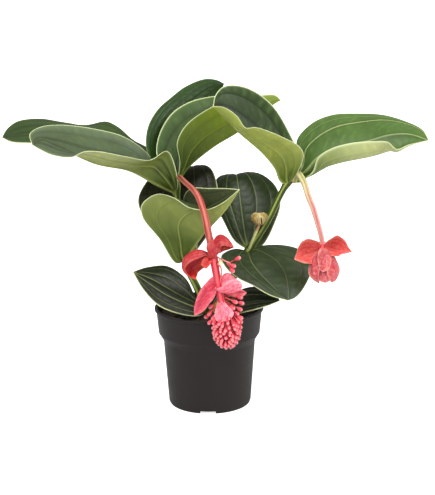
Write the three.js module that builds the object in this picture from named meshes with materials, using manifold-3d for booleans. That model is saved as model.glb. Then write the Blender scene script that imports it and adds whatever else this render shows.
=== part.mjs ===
// A flowering medinilla in its nursery pot, in millimetres with +Z up.
// The pot stands on the ground with its axis on Z, and the plant's front looks toward -Y.
// Two stems rise out of the soil and fork away to the left and the right. Each ends in a pair of
// large leaves with a hanging flower between them, and carries further pairs of leaves lower down.

import * as THREE from "three";
import { mergeVertices } from "three/addons/utils/BufferGeometryUtils.js";
import Module from "manifold-3d";

const wasm = await Module();
wasm.setup();

// ---------------------------------------------------------------------------------------------
// Driving sizes
// ---------------------------------------------------------------------------------------------

// Nursery pot: a thin moulded shell with a wide band under its rolled lip.
const POT_HEIGHT = 155;
const POT_LIP_RADIUS = 85;
const POT_LIP_HEIGHT = 4;
const POT_BAND_TOP_RADIUS = 82.4;
const POT_BAND_BOTTOM_RADIUS = 79;
const POT_BAND_BOTTOM_HEIGHT = 115;
const POT_BODY_TOP_RADIUS = 71.6;
const POT_BODY_TOP_HEIGHT = 102;
const POT_BODY_BOTTOM_RADIUS = 64.4;
const POT_BODY_BOTTOM_HEIGHT = 3;
const POT_SHOULDER_RADIUS = 74.2;
const POT_SHOULDER_HEIGHT = 107.5;
const POT_LIP_CHAMFER = 0.8;
const POT_WALL = 1.8;
const POT_SIDES = 36;

// Underside of the pot: a flat disc in the middle and a ring at the edge stand on the ground,
// and the channel between them drains through round holes and out through four notches.
const FOOT_DISC_RADIUS = 30;
const FOOT_RING_RADIUS = 62.8;
const FOOT_RING_WIDTH = 2.8;
const CHANNEL_HEIGHT = 5;
const CHANNEL_SLOPE = 1.2;
const FLOOR_THICKNESS = 2;
const DRAIN_HOLE_RADIUS = 5;
const DRAIN_HOLE_SIDES = 12;
const DRAIN_HOLE_COUNT = 6;
const DRAIN_CIRCLE_RADIUS = 45;
const NOTCH_WIDTH = 24;
const NOTCH_DEPTH = 14;
const NOTCH_HEIGHT = 4.4;
const NOTCH_COUNT = 4;
const NOTCH_TURN = THREE.MathUtils.degToRad(-3);

// Soil: it fills the pot to a little under the lip, and its crumbled top rises and falls.
const SOIL_HEIGHT = 143;
const SOIL_RELIEF = 2.2;
const SOIL_TOP_RADIUS = 78.2;
const SOIL_TOP_RINGS = [62, 44, 26, 10];
const SOIL_CLEARANCE = 1.2;
const SOIL_SECTORS = 20;

// Blades and stems. Neighbouring pieces keep the seat gap between them.
const SEAT_GAP = 0.3;
const LEAF_THICKNESS = 1.0;
const LEAF_ROWS = 12;
const LEAF_COLUMNS = [-1, -0.7, -0.35, -0.07, 0, 0.07, 0.35, 0.7, 1];
const MIDRIB_DEPTH = 3.5;
const STEM_RADIUS_AT_SOIL = 6.2;
const STEM_RADIUS_AT_TOP = 4.4;
const STEM_ROWS = 20;
const STEM_SIDES = 8;
const NODE_SWELLING = 1.6;
const NODE_SPREAD = 0.035;
const BRACT_THICKNESS = 1.0;
const BRACT_ROWS = 6;
const BRACT_COLUMNS = [-1, -0.5, 0, 0.5, 1];
const SIDE_BUD_RADIUS = 3.3;
const CLUSTER_BUD_RADIUS = 2.9;
const BUD_LENGTH = 9;
const BUD_SIDES = 5;
const PEDICEL_RADIUS = 1.1;
const BRANCHLET_RADIUS = 1.5;

const COLOURS = {
  pot: 0x33302f,
  soil: 0x2b2018,
  stem: 0x5d7038,
  leaf: 0x2f5a2c,
  paleLeaf: 0x5f7d33,
  coral: 0xdb5a52,
  pink: 0xe4586c,
  paleStalk: 0xd9a878,
  dryFlower: 0xa8894c,
};

const group = new THREE.Group();
group.name = "medinilla";

// ---------------------------------------------------------------------------------------------
// Solids: joining, cutting and placing
// ---------------------------------------------------------------------------------------------

const vector = ([x, y, z]) => new THREE.Vector3(x, y, z);
const smoothCurve = (points) => new THREE.CatmullRomCurve3(points.map(vector));
const range = (count) => [...Array(count).keys()];

// A closed surface becomes a solid once its shared corners are merged. Triangles that the merge
// has closed up, such as those round a lathe's pole, are left out.
function toSolid(geometry) {
  const bare = new THREE.BufferGeometry();
  bare.setAttribute("position", geometry.attributes.position);
  bare.setIndex(geometry.index);
  const merged = mergeVertices(bare, 1e-4);
  const triangles = [];
  for (let i = 0; i < merged.index.count; i += 3) {
    const [a, b, c] = [0, 1, 2].map((corner) => merged.index.getX(i + corner));
    if (a !== b && b !== c && c !== a) {
      triangles.push(a, b, c);
    }
  }
  const mesh = new wasm.Mesh({
    numProp: 3,
    vertProperties: new Float32Array(merged.attributes.position.array),
    triVerts: new Uint32Array(triangles),
  });
  return new wasm.Manifold(mesh);
}

function toGeometry(solid) {
  const mesh = solid.getMesh();
  const geometry = new THREE.BufferGeometry();
  const points = new Float32Array(mesh.vertProperties);
  geometry.setAttribute("position", new THREE.BufferAttribute(points, 3));
  geometry.setIndex([...mesh.triVerts]);
  geometry.computeVertexNormals();
  return geometry;
}

const join = (solids) => solids.reduce((whole, solid) => whole.add(solid));
const cut = (whole, solids) => solids.reduce((rest, solid) => rest.subtract(solid), whole);
const largest = (solid) =>
  solid.decompose().reduce((best, piece) => (piece.volume() > best.volume() ? piece : best));

// Every piece is a function of how much it is swollen. It is placed at its true size, less what
// the earlier pieces take up with the seat gap round them, so that neighbours meet and never cross.
const placed = [];

function place(name, colour, roughness, build) {
  const solid = largest(cut(build(0), placed));
  placed.push(build(SEAT_GAP));
  const material = new THREE.MeshStandardMaterial({ color: colour, roughness, metalness: 0 });
  const mesh = new THREE.Mesh(toGeometry(solid), material);
  mesh.name = name;
  group.add(mesh);
}

// ---------------------------------------------------------------------------------------------
// Surfaces: rings along a path, and thin blades
// ---------------------------------------------------------------------------------------------

function closedSurface(points, triangles) {
  const geometry = new THREE.BufferGeometry().setFromPoints(points);
  geometry.setIndex(triangles);
  return toSolid(geometry);
}

// Rows of equal length that close on themselves, with a fan of triangles over each end.
function ringSolid(rings) {
  const sides = rings[0].length;
  const points = rings.flat();
  const triangles = [];
  for (let row = 0; row + 1 < rings.length; row += 1) {
    for (let side = 0; side < sides; side += 1) {
      const next = (side + 1) % sides;
      const [a, b] = [row * sides + side, row * sides + next];
      triangles.push(a, b, a + sides, b, b + sides, a + sides);
    }
  }
  const middle = (ring) =>
    ring.reduce((sum, point) => sum.add(point), new THREE.Vector3()).divideScalar(sides);
  const start = points.push(middle(rings[0])) - 1;
  const end = points.push(middle(rings.at(-1))) - 1;
  const last = (rings.length - 1) * sides;
  for (let side = 0; side < sides; side += 1) {
    const next = (side + 1) % sides;
    triangles.push(start, next, side, end, last + side, last + next);
  }
  return closedSurface(points, triangles);
}

// A round stalk along a curve, with its radius given along its length from 0 to 1.
function stalk(path, radiusAt, rows, sides) {
  const curve = smoothCurve(path);
  const frames = curve.computeFrenetFrames(rows - 1);
  const rings = range(rows).map((row) => {
    const along = row / (rows - 1);
    return range(sides).map((side) => {
      const angle = (2 * Math.PI * side) / sides;
      return curve
        .getPointAt(along)
        .addScaledVector(frames.normals[row], radiusAt(along) * Math.cos(angle))
        .addScaledVector(frames.binormals[row], radiusAt(along) * Math.sin(angle));
    });
  });
  return ringSolid(rings);
}

// The middle surface of a leaf or bract, as a loft. Its midrib runs from base to tip, `left` and
// `right` are the points that its two margins pass through on the way, seen from the base with the
// upper face up, and `bulge` is how far each half rises between midrib and margin, fading out
// toward base and tip: below zero it sags like a trough. Rows stand closer near both ends, and the
// first and the last lie just inside them, where the blade still has some width.
const LOFT_START = 0.01;
const LOFT_END = 0.995;

function loft({ midrib, left, right, bulge }, rows, columns) {
  const spine = smoothCurve(midrib);
  const margins = [left, right].map((side) => smoothCurve([midrib[0], ...side, midrib.at(-1)]));
  return range(rows).map((row) => {
    const share = row / (rows - 1);
    const eased = (share + (1 - Math.cos(Math.PI * share)) / 2) / 2;
    const along = THREE.MathUtils.lerp(LOFT_START, LOFT_END, eased);
    const centre = spine.getPointAt(along);
    const tangent = spine.getTangentAt(along);
    return columns.map((across) => {
      const side = across > 0 ? 1 : 0;
      const reach = margins[side].getPointAt(along).sub(centre);
      const rise = side === 1 ? reach.clone().cross(tangent) : tangent.clone().cross(reach);
      const part = Math.abs(across);
      const height = 4 * part * (1 - part) * bulge[side] * Math.sin(Math.PI * along);
      return centre
        .clone()
        .addScaledVector(reach, part)
        .addScaledVector(rise.normalize(), height);
    });
  });
}

// A thin blade from its middle surface. Both faces stand off half the thickness along the normal
// and are split along the same diagonals, `ridge` deepens the underside along the midrib and runs
// out toward the tip, and `swollen` moves the faces and the edge outward.
function blade(grid, thickness, ridge, swollen) {
  const rows = grid.length;
  const columns = grid[0].length;
  const half = thickness / 2 + swollen;
  const upper = [];
  const lower = [];
  for (let row = 0; row < rows; row += 1) {
    for (let column = 0; column < columns; column += 1) {
      const [before, after] = [Math.max(row - 1, 0), Math.min(row + 1, rows - 1)];
      const [left, right] = [Math.max(column - 1, 0), Math.min(column + 1, columns - 1)];
      const lengthwise = grid[after][column].clone().sub(grid[before][column]).normalize();
      const crosswise = grid[row][right].clone().sub(grid[row][left]).normalize();
      const normal = crosswise.clone().cross(lengthwise).normalize();
      const outward = Math.sign(column - (columns - 1) / 2) * (column === left || column === right);
      const onward = row === rows - 1 ? 1 : 0;
      const point = grid[row][column]
        .clone()
        .addScaledVector(crosswise, outward * swollen)
        .addScaledVector(lengthwise, onward * swollen);
      const depth = outward === 0 && column === (columns - 1) / 2 ? ridge * (1 - row / rows) : 0;
      upper.push(point.clone().addScaledVector(normal, half));
      lower.push(point.clone().addScaledVector(normal, -half - depth));
    }
  }
  const under = rows * columns;
  const triangles = [];
  for (let row = 0; row + 1 < rows; row += 1) {
    for (let column = 0; column + 1 < columns; column += 1) {
      const a = row * columns + column;
      const [b, c, d] = [a + 1, a + columns, a + columns + 1];
      triangles.push(a, b, d, a, d, c);
      triangles.push(under + a, under + d, under + b, under + a, under + c, under + d);
    }
  }
  const wall = (from, to) => triangles.push(from, under + from, to, to, under + from, under + to);
  for (let column = 0; column + 1 < columns; column += 1) {
    const last = (rows - 1) * columns + column;
    wall(column, column + 1);
    wall(last + 1, last);
  }
  for (let row = 0; row + 1 < rows; row += 1) {
    const first = row * columns;
    wall(first + columns, first);
    wall(first + columns - 1, first + 2 * columns - 1);
  }
  return closedSurface([...upper, ...lower], triangles);
}

const leafBlade = (leaf, swollen) =>
  blade(loft(leaf, LEAF_ROWS, LEAF_COLUMNS), LEAF_THICKNESS, MIDRIB_DEPTH, swollen);
const bractBlade = (bract, swollen) =>
  blade(loft(bract, BRACT_ROWS, BRACT_COLUMNS), BRACT_THICKNESS, 0, swollen);

// ---------------------------------------------------------------------------------------------
// Stems
// ---------------------------------------------------------------------------------------------

// The stems thin out upward and swell where a pair of leaves grows, `nodesAt` along their length.
const STEMS = {
  stem_left: {
    path: [[-4, 1, 118], [-5, 0, 149], [-18, -6, 186], [-32, -10, 219], [-40, -6, 263],
      [-46, -6, 310], [-48, -8, 354]],
    nodesAt: [0.49, 0.97],
  },
  stem_right: {
    path: [[9, 8, 118], [11, 8, 150], [31, 6, 187], [58, 2, 236], [92, 2, 291], [110, 0, 329],
      [120, 0, 347], [128, 0, 357]],
    nodesAt: [0.51, 0.97],
  },
};

for (const [name, stem] of Object.entries(STEMS)) {
  const swelling = (along) =>
    stem.nodesAt.reduce(
      (sum, node) => sum + NODE_SWELLING * Math.exp(-(((along - node) / NODE_SPREAD) ** 2)), 0);
  const radiusAt = (along) =>
    THREE.MathUtils.lerp(STEM_RADIUS_AT_SOIL, STEM_RADIUS_AT_TOP, along) + swelling(along);
  place(name, COLOURS.stem, 0.6, (swollen) =>
    stalk(stem.path, (along) => radiusAt(along) + swollen, STEM_ROWS, STEM_SIDES));
}

// ---------------------------------------------------------------------------------------------
// First flower: a long arched stalk, two whorls of bracts, side buds and a hanging cluster
// ---------------------------------------------------------------------------------------------

const FIRST_STALK = [[-49, -9, 352], [-48, -14, 363], [-40, -26, 368], [-29, -46, 363],
  [-20, -62, 356], [-13, -75, 346], [-5, -92, 320], [1, -101, 291], [6, -106, 265]];
const FIRST_STALK_RADII = [4.4, 5.4];
const FIRST_STALK_ROWS = 18;
const FIRST_AXIS = [[5, -105, 272], [7, -107, 262], [12, -110, 230], [17, -112, 200],
  [22, -113, 172]];
const FIRST_AXIS_RADII = [6.4, 4.4];
const FIRST_AXIS_ROWS = 8;
const BRANCHLET_ROWS = 6;
const CLUSTER_AXIS = [[22, -113, 173], [26, -113, 158], [27, -113, 144], [26, -113, 131]];
const CLUSTER_CORE_RADII = [15, 8];
const CLUSTER_CORE_ROWS = 5;
const CLUSTER_CORE_SIDES = 10;
const CLUSTER_CENTRE = [26, -113];
const CLUSTER_RADIUS = 23.5;
const CLUSTER_CLOSING = 0.97;
const CLUSTER_TOP = 163;
const CLUSTER_BOTTOM = 122;
const CLUSTER_BUDS = 40;
const CLUSTER_ROOT_SHARE = 0.4;
const CLUSTER_ROOT_RISE = 11;
const CLUSTER_LOWEST_ROOT = 134;
const GOLDEN_ANGLE = Math.PI * (3 - Math.sqrt(5));

// Each bract grows from the flower's axis. A hood or a cup is folded along its midrib.
const FIRST_BRACTS = {
  upper_hood: {
    midrib: [[7, -106, 265], [9, -104, 286], [16, -106, 294], [26, -110, 291], [33, -114, 284],
      [37, -116, 277]],
    left: [[8, -99, 266], [15, -95, 263], [23, -97, 267], [30, -104, 271]],
    right: [[12, -114, 269], [16, -122, 277], [20, -126, 282], [27, -124, 281], [33, -118, 278]],
    bulge: [4, 4],
  },
  upper_cup: {
    midrib: [[5, -107, 262], [-7, -108, 271], [-18, -110, 273], [-31, -114, 267], [-38, -116, 258],
      [-38, -117, 247], [-30, -117, 237], [-19, -116, 229]],
    left: [[-4, -116, 265], [-18, -124, 262], [-28, -126, 257], [-34, -124, 248], [-29, -120, 237]],
    right: [[3, -101, 249], [-7, -98, 242], [-15, -100, 236], [-17, -108, 233]],
    bulge: [3, 5],
  },
  upper_wrap: {
    midrib: [[8, -112, 259], [7, -118, 264], [6, -118, 272], [8, -115, 281], [10, -109, 288]],
    left: [[2, -115, 263], [-2, -115, 272], [-2, -112, 281], [3, -108, 287]],
    right: [[12, -117, 265], [17, -119, 272], [19, -117, 279], [16, -111, 286]],
    bulge: [1, 1],
  },
  upper_lobe: {
    midrib: [[5, -108, 263], [-2, -117, 257], [-8, -118, 249]],
    left: [[-2, -113, 264], [-9, -118, 259], [-11, -119, 253]],
    right: [[5, -112, 256], [1, -116, 250], [-4, -118, 246]],
    bulge: [1, 1],
  },
  lower_left: {
    midrib: [[12, -111, 221], [-1, -121, 215], [-12, -126, 200], [-22, -122, 176]],
    left: [[7, -106, 231], [-5, -110, 222], [-14, -114, 210], [-20, -118, 196], [-22, -120, 186]],
    right: [[11, -118, 212], [7, -124, 203], [1, -126, 196], [-7, -126, 185], [-15, -124, 179]],
    bulge: [2, 2],
  },
  lower_right: {
    midrib: [[13, -111, 219], [15, -117, 211], [22, -119, 209], [32, -120, 209], [43, -120, 212],
      [49, -118, 219]],
    left: [[18, -106, 229], [23, -104, 235], [30, -104, 236], [36, -106, 231], [43, -110, 226]],
    right: [[9, -118, 216], [18, -124, 220], [25, -127, 227], [32, -126, 231], [40, -124, 231],
      [47, -121, 226]],
    bulge: [-2, -2],
  },
  lower_tail: {
    midrib: [[16, -110, 211], [34, -107, 207], [46, -107, 207], [56, -108, 206]],
    left: [[28, -106, 213], [43, -108, 214], [51, -108, 210]],
    right: [[28, -110, 204], [40, -111, 201], [49, -110, 201]],
    bulge: [1, 1],
  },
  skirt: {
    midrib: [[18, -112, 201], [19, -123, 189], [20, -127, 178], [21, -127, 168]],
    left: [[12, -114, 193], [9, -119, 183], [8, -122, 174], [12, -125, 168]],
    right: [[25, -116, 192], [32, -120, 186], [36, -121, 179], [30, -125, 170]],
    bulge: [2, 2],
  },
};

// Side branchlets and single buds, each from its root to its tip.
const FIRST_BRANCHLETS = [
  [[8, -107, 263], [22, -112, 257], [32, -115, 253]],
  [[10, -109, 254], [18, -114, 246], [17, -112, 222]],
];
const FIRST_BUDS = [
  [[30, -114, 254], [47, -118, 263]],
  [[26, -114, 253], [40, -116, 248]],
  [[26, -114, 254], [37, -117, 239]],
  [[16, -111, 258], [18, -118, 251]],
  [[20, -111, 204], [50, -113, 200]],
  [[20, -112, 203], [42, -117, 193]],
  [[20, -111, 200], [52, -111, 190]],
  [[19, -111, 198], [49, -112, 180]],
  [[20, -112, 196], [38, -119, 184]],
  [[20, -111, 191], [44, -115, 174]],
  [[21, -112, 185], [50, -112, 167]],
  [[18, -111, 201], [0, -114, 184]],
  [[18, -111, 197], [-2, -116, 174]],
  [[19, -111, 192], [4, -116, 167]],
  [[19, -111, 190], [-7, -112, 169]],
  [[20, -112, 184], [-2, -114, 160]],
];

const taper = ([start, end], swollen) => (along) =>
  THREE.MathUtils.lerp(start, end, along) + swollen;

// A bud on its thin pedicel: it fills the last stretch before its tip as a blunt drop, whose
// outline gives shares of its length and of its radius. The reference is a direction that no bud
// points in.
const BUD_OUTLINE = [[0.35, 0.9], [0.75, 1], [1, 0.4]];
const BUD_REFERENCE = new THREE.Vector3(0.31, 0.95, 0.05);

function bud([root, tip], radius, swollen) {
  const [start, end] = [vector(root), vector(tip)];
  const neck = Math.max(1 - BUD_LENGTH / start.distanceTo(end), 0.02);
  const stations = [0, neck, ...BUD_OUTLINE.map(([share]) => neck + (1 - neck) * share)];
  const radii = [PEDICEL_RADIUS, PEDICEL_RADIUS, ...BUD_OUTLINE.map(([, share]) => radius * share)];
  const forward = end.clone().sub(start).normalize();
  const aside = forward.clone().cross(BUD_REFERENCE).normalize();
  const across = forward.clone().cross(aside);
  const rings = stations.map((station, row) =>
    range(BUD_SIDES).map((side) => {
      const angle = (2 * Math.PI * side) / BUD_SIDES;
      return start
        .clone()
        .lerp(end, station)
        .addScaledVector(aside, (radii[row] + swollen) * Math.cos(angle))
        .addScaledVector(across, (radii[row] + swollen) * Math.sin(angle));
    }));
  return ringSolid(rings);
}

// The cluster's buds stand on a spiral of equal turns. Their tips follow a blunt cone that closes
// to a dome below, and they hang more steeply the lower they grow.
function clusterBuds() {
  const around = (share, angle, height) => [
    CLUSTER_CENTRE[0] + share * Math.cos(angle), CLUSTER_CENTRE[1] + share * Math.sin(angle), height];
  return range(CLUSTER_BUDS).map((index) => {
    const down = (index + 0.5) / CLUSTER_BUDS;
    const angle = index * GOLDEN_ANGLE;
    const reach = CLUSTER_RADIUS * Math.sqrt(1 - (CLUSTER_CLOSING * down) ** 3);
    const height = THREE.MathUtils.lerp(CLUSTER_TOP, CLUSTER_BOTTOM, down);
    const rootHeight = Math.max(height + CLUSTER_ROOT_RISE, CLUSTER_LOWEST_ROOT);
    return [
      around(reach * CLUSTER_ROOT_SHARE, angle, rootHeight),
      around(reach, angle, height),
    ];
  });
}

const firstBloom = (swollen) =>
  join([
    stalk(FIRST_AXIS, taper(FIRST_AXIS_RADII, swollen), FIRST_AXIS_ROWS, STEM_SIDES),
    ...Object.values(FIRST_BRACTS).map((bract) => bractBlade(bract, swollen)),
    ...FIRST_BRANCHLETS.map((path) =>
      stalk(path, () => BRANCHLET_RADIUS + swollen, BRANCHLET_ROWS, BUD_SIDES)),
    ...FIRST_BUDS.map((line) => bud(line, SIDE_BUD_RADIUS, swollen)),
  ]);
const firstCluster = (swollen) =>
  join([
    stalk(CLUSTER_AXIS, taper(CLUSTER_CORE_RADII, swollen), CLUSTER_CORE_ROWS, CLUSTER_CORE_SIDES),
    ...clusterBuds().map((line) => bud(line, CLUSTER_BUD_RADIUS, swollen)),
  ]);

place("flower_1_stalk", COLOURS.coral, 0.5, (swollen) =>
  stalk(FIRST_STALK, taper(FIRST_STALK_RADII, swollen), FIRST_STALK_ROWS, STEM_SIDES));
place("flower_1_bloom", COLOURS.coral, 0.5, firstBloom);
place("flower_1_cluster", COLOURS.pink, 0.4, firstCluster);

// ---------------------------------------------------------------------------------------------
// Second flower: a shorter stalk and one whorl of bracts, two spread out and the rest hanging
// ---------------------------------------------------------------------------------------------

const SECOND_STALK = [[132, -1, 352], [136, -6, 364], [145, -22, 354], [151, -36, 335],
  [158, -48, 317], [164, -58, 297], [169, -64, 277], [170, -66, 268]];
const SECOND_STALK_RADII = [5.4, 4.1];
const SECOND_STALK_ROWS = 14;
const SECOND_COLLAR = [[170, -65, 272], [170, -66, 262], [171, -67, 250]];
const SECOND_COLLAR_RADIUS = 4.2;
const SECOND_COLLAR_ROWS = 4;

const SECOND_BRACTS = {
  left_cup: {
    midrib: [[169, -66, 266], [157, -57, 256], [143, -60, 250], [128, -72, 247]],
    left: [[168, -66, 256], [159, -70, 243], [150, -72, 240], [139, -74, 243], [133, -74, 245]],
    right: [[163, -73, 274], [152, -75, 278], [140, -75, 276], [134, -75, 268], [131, -74, 257]],
    bulge: [-3, -5],
  },
  right_cup: {
    midrib: [[171, -66, 266], [187, -56, 261], [200, -60, 258], [214, -70, 257]],
    left: [[176, -71, 273], [183, -73, 279], [191, -75, 283], [198, -75, 280], [204, -75, 272],
      [209, -73, 264]],
    right: [[177, -67, 257], [183, -70, 252], [190, -72, 252], [197, -72, 254], [206, -72, 257]],
    bulge: [-5, -3],
  },
  front_petal: {
    midrib: [[170, -68, 265], [171, -79, 253], [171, -82, 242], [170, -80, 229]],
    left: [[165, -72, 261], [162, -77, 252], [163, -79, 241], [166, -79, 232]],
    right: [[175, -72, 260], [182, -75, 252], [182, -77, 241], [177, -79, 232]],
    bulge: [1, 1],
  },
  left_petal: {
    midrib: [[169, -67, 264], [157, -76, 250], [155, -79, 232], [166, -71, 208]],
    left: [[161, -64, 254], [153, -62, 242], [150, -62, 232], [150, -64, 222], [156, -67, 214]],
    right: [[167, -75, 252], [166, -79, 238], [164, -78, 224], [165, -74, 214]],
    bulge: [2, 1],
  },
  right_petal: {
    midrib: [[171, -67, 264], [185, -76, 249], [190, -79, 233], [184, -71, 210]],
    left: [[174, -75, 252], [175, -79, 238], [177, -78, 224], [181, -74, 214]],
    right: [[182, -64, 255], [191, -62, 244], [197, -62, 230], [196, -64, 222], [191, -67, 213]],
    bulge: [1, 2],
  },
  inner_petal: {
    midrib: [[170, -66, 263], [172, -70, 242], [173, -74, 224], [174, -72, 210]],
    left: [[165, -68, 251], [160, -71, 235], [160, -73, 221], [166, -72, 213]],
    right: [[175, -68, 251], [183, -71, 234], [185, -73, 221], [181, -72, 213]],
    bulge: [1, 1],
  },
  back_petal: {
    midrib: [[170, -65, 264], [172, -51, 243], [174, -48, 222], [174, -56, 207]],
    left: [[178, -58, 256], [190, -55, 241], [194, -54, 225], [187, -56, 212]],
    right: [[164, -58, 256], [156, -55, 241], [154, -54, 226], [160, -56, 212]],
    bulge: [2, 2],
  },
};

place("flower_2_stalk", COLOURS.paleStalk, 0.5, (swollen) =>
  stalk(SECOND_STALK, taper(SECOND_STALK_RADII, swollen), SECOND_STALK_ROWS, STEM_SIDES));
place("flower_2_bloom", COLOURS.coral, 0.5, (swollen) =>
  join([
    stalk(SECOND_COLLAR, () => SECOND_COLLAR_RADIUS + swollen, SECOND_COLLAR_ROWS, STEM_SIDES),
    ...Object.values(SECOND_BRACTS).map((bract) => bractBlade(bract, swollen)),
  ]));

// ---------------------------------------------------------------------------------------------
// Spent flower: a thin stalk from the right stem with the dry remains of its bracts
// ---------------------------------------------------------------------------------------------

const DRY_STALK = [[61, 1, 240], [64, -5, 250], [70, -8, 266], [77, -10, 284], [79, -10, 292]];
const DRY_STALK_RADIUS = 2.1;
const DRY_STALK_ROWS = 7;
const DRY_STALK_SIDES = 6;
const DRY_BRACTS = {
  left: {
    midrib: [[77, -10, 284], [70, -16, 290], [66, -17, 299], [73, -14, 308]],
    left: [[72, -6, 288], [64, -8, 297], [67, -9, 305]],
    right: [[80, -17, 287], [80, -20, 297], [79, -17, 306]],
    bulge: [1, 1],
  },
  right: {
    midrib: [[79, -10, 284], [87, -11, 290], [91, -12, 299], [85, -13, 308]],
    left: [[84, -15, 287], [86, -18, 296], [83, -17, 306]],
    right: [[85, -3, 289], [92, -5, 297], [89, -7, 305]],
    bulge: [1, 1],
  },
  back: {
    midrib: [[78, -9, 284], [80, -3, 292], [80, -2, 299], [80, -6, 306]],
    left: [[84, -6, 289], [86, -5, 297], [84, -6, 303]],
    right: [[74, -6, 289], [73, -5, 297], [75, -6, 303]],
    bulge: [1, 1],
  },
};

place("dry_flower", COLOURS.dryFlower, 0.8, (swollen) =>
  join([
    stalk(DRY_STALK, () => DRY_STALK_RADIUS + swollen, DRY_STALK_ROWS, DRY_STALK_SIDES),
    ...Object.values(DRY_BRACTS).map((bract) => bractBlade(bract, swollen)),
  ]));

// ---------------------------------------------------------------------------------------------
// Leaves
// ---------------------------------------------------------------------------------------------

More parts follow.
